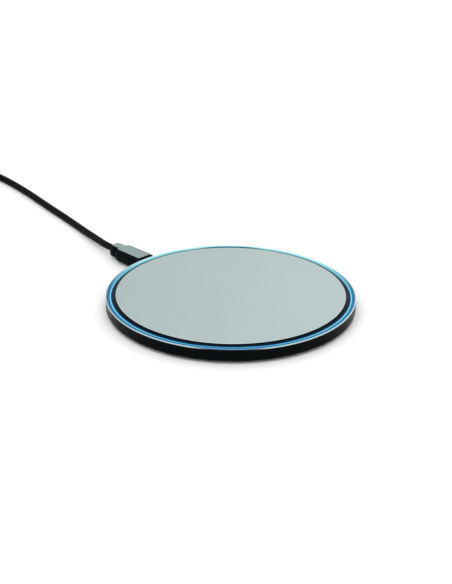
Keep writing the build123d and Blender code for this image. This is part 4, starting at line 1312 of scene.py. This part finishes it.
class CHARGER_OT_inside(bpy.types.Operator):
    """Makes the charging coil's winding and finishes everything inside the case"""

    bl_idname = "charger.inside"
    bl_label = "Coil and circuit board"

    def execute(self, context):
        copper = copper_strand()
        self.add_winding(copper)
        chip = grained("chip_moulding", (0.012, 0.012, 0.013), (0.028, 0.028, 0.03), 0.0002, 0.5)
        ferrite = grained("ferrite_grain", (0.018, 0.018, 0.019), (0.05, 0.05, 0.052), 0.0003, 0.5)
        ceramic = grained("fired_ceramic", (0.30, 0.20, 0.11), (0.44, 0.32, 0.2), 0.0002, 0.4)
        rows = [
            ("main_board", "board_plate", circuit_board(), "board_green", 0.04),
            ("controller_chip", "controller_package", chip, "chip_black", 0.05),
            ("power_transistors", "transistor_packages", chip, "chip_black", 0.06),
            ("ferrite_shield", "ferrite_disc", ferrite, "ferrite", 0.06),
            ("filter_inductor", "choke_block", ferrite, "ferrite", 0.08),
            ("resonant_capacitors", "tuning_capacitors", ceramic, "ceramic_tan", 0.06),
            ("chip_passives", "small_chips", ceramic, "ceramic_tan", 0.04),
            ("coil_thermistor", "heat_sensor", ceramic, "ceramic_tan", 0.04),
            ("light_leds", "ring_lamps", lamp_lens(), "led_white", 0.06),
        ]
        soften_all("pad", rows)
        repaint("coil_leads", copper)
        dark_foam, pale_foam = (0.03, 0.03, 0.032), (0.09, 0.09, 0.095)
        stuffs = {
            "foam_pad": ("cell_foam", dark_foam, pale_foam, 0.0006, 0.85, 0.0001),
            "plate_tape": ("clear_film", (0.62, 0.61, 0.55), (0.74, 0.73, 0.68), 0.001, 0.35),
            "coil_tape": ("coil_film", (0.60, 0.58, 0.5), (0.72, 0.7, 0.62), 0.001, 0.35),
            "reflector_ring": ("white_film", (0.84, 0.84, 0.83), (0.93, 0.93, 0.92), 0.0008, 0.5),
        }
        for node, stuff in stuffs.items():
            repaint(node, grained(*stuff))
        return {"FINISHED"}

    def add_winding(self, copper):
        """A flat spiral of twisted strands."""
        start = radii("charging_coil")[0] + 0.5 * MM
        pattern = Pattern(
            "winding_pattern",
            {
                "Turns": ("Float", 10.0),
                "Start radius": ("Float", start),
                "End radius": ("Float", start + 11.0 * MM),
                "Strand": ("Float", 0.44 * MM),
                "Twist": ("Float", 0.6),
            },
        )
        value = pattern.values
        feeds = {
            "Resolution": 90,
            "Rotations": value["Turns"],
            "Start Radius": value["Start radius"],
            "End Radius": value["End radius"],
            "Height": 0.0,
        }
        spiral = pattern.node("GeometryNodeCurveSpiral", None, feeds)
        lean = pattern.node("GeometryNodeInputIndex") * value["Twist"]
        feeds = {"Curve": spiral, "Tilt": lean}
        twisted = pattern.node("GeometryNodeSetCurveTilt", None, feeds)
        feeds = {"Points": 7, "Inner Radius": 0.36 * MM, "Outer Radius": value["Strand"]}
        lobes = pattern.node("GeometryNodeCurveStar", None, feeds)
        feeds = {"Curve": twisted, "Profile Curve": lobes, "Fill Caps": True}
        bundle = pattern.node("GeometryNodeCurveToMesh", None, feeds)
        middle = (low("charging_coil").z + high("charging_coil").z) / 2
        feeds = {"Geometry": bundle, "Translation": (0, 0, middle)}
        raised = pattern.node("GeometryNodeTransform", None, feeds)
        mesh = pattern.run(raised, copper)
        add_piece("coil_winding", mesh, None, "pad", "copper", ("charging_coil",), 80.0)


# ---- panel and registration -----------------------------------------------------------------
OPERATORS = [
    CHARGER_OT_stage,
    CHARGER_OT_device_plug,
    CHARGER_OT_far_plug,
    CHARGER_OT_tie,
    CHARGER_OT_cord,
    CHARGER_OT_top,
    CHARGER_OT_rings,
    CHARGER_OT_case,
    CHARGER_OT_socket,
    CHARGER_OT_inside,
]


class CHARGER_PT_panel(bpy.types.Panel):
    """Lists the pieces in the order in which they are made"""

    bl_label = "Charging Pad"
    bl_idname = "CHARGER_PT_panel"
    bl_space_type = "VIEW_3D"
    bl_region_type = "UI"
    bl_category = "Charging Pad"

    def draw(self, context):
        for operator in OPERATORS:
            self.layout.operator(operator.bl_idname)


CLASSES = [PadLook, CordLook, StageLook, *OPERATORS, CHARGER_PT_panel]


def register():
    for item in CLASSES:
        bpy.utils.register_class(item)
    bpy.types.Scene.charger_pad = bpy.props.PointerProperty(type=PadLook)
    bpy.types.Scene.charger_cord = bpy.props.PointerProperty(type=CordLook)
    bpy.types.Scene.charger_stage = bpy.props.PointerProperty(type=StageLook)


def unregister():
    del bpy.types.Scene.charger_pad
    del bpy.types.Scene.charger_cord
    del bpy.types.Scene.charger_stage
    for item in reversed(CLASSES):
        bpy.utils.unregister_class(item)


def main():
    register()
    for operator in OPERATORS:
        group, name = operator.bl_idname.split(".")
        getattr(getattr(bpy.ops, group), name)()


if __name__ == "__main__":
    main()
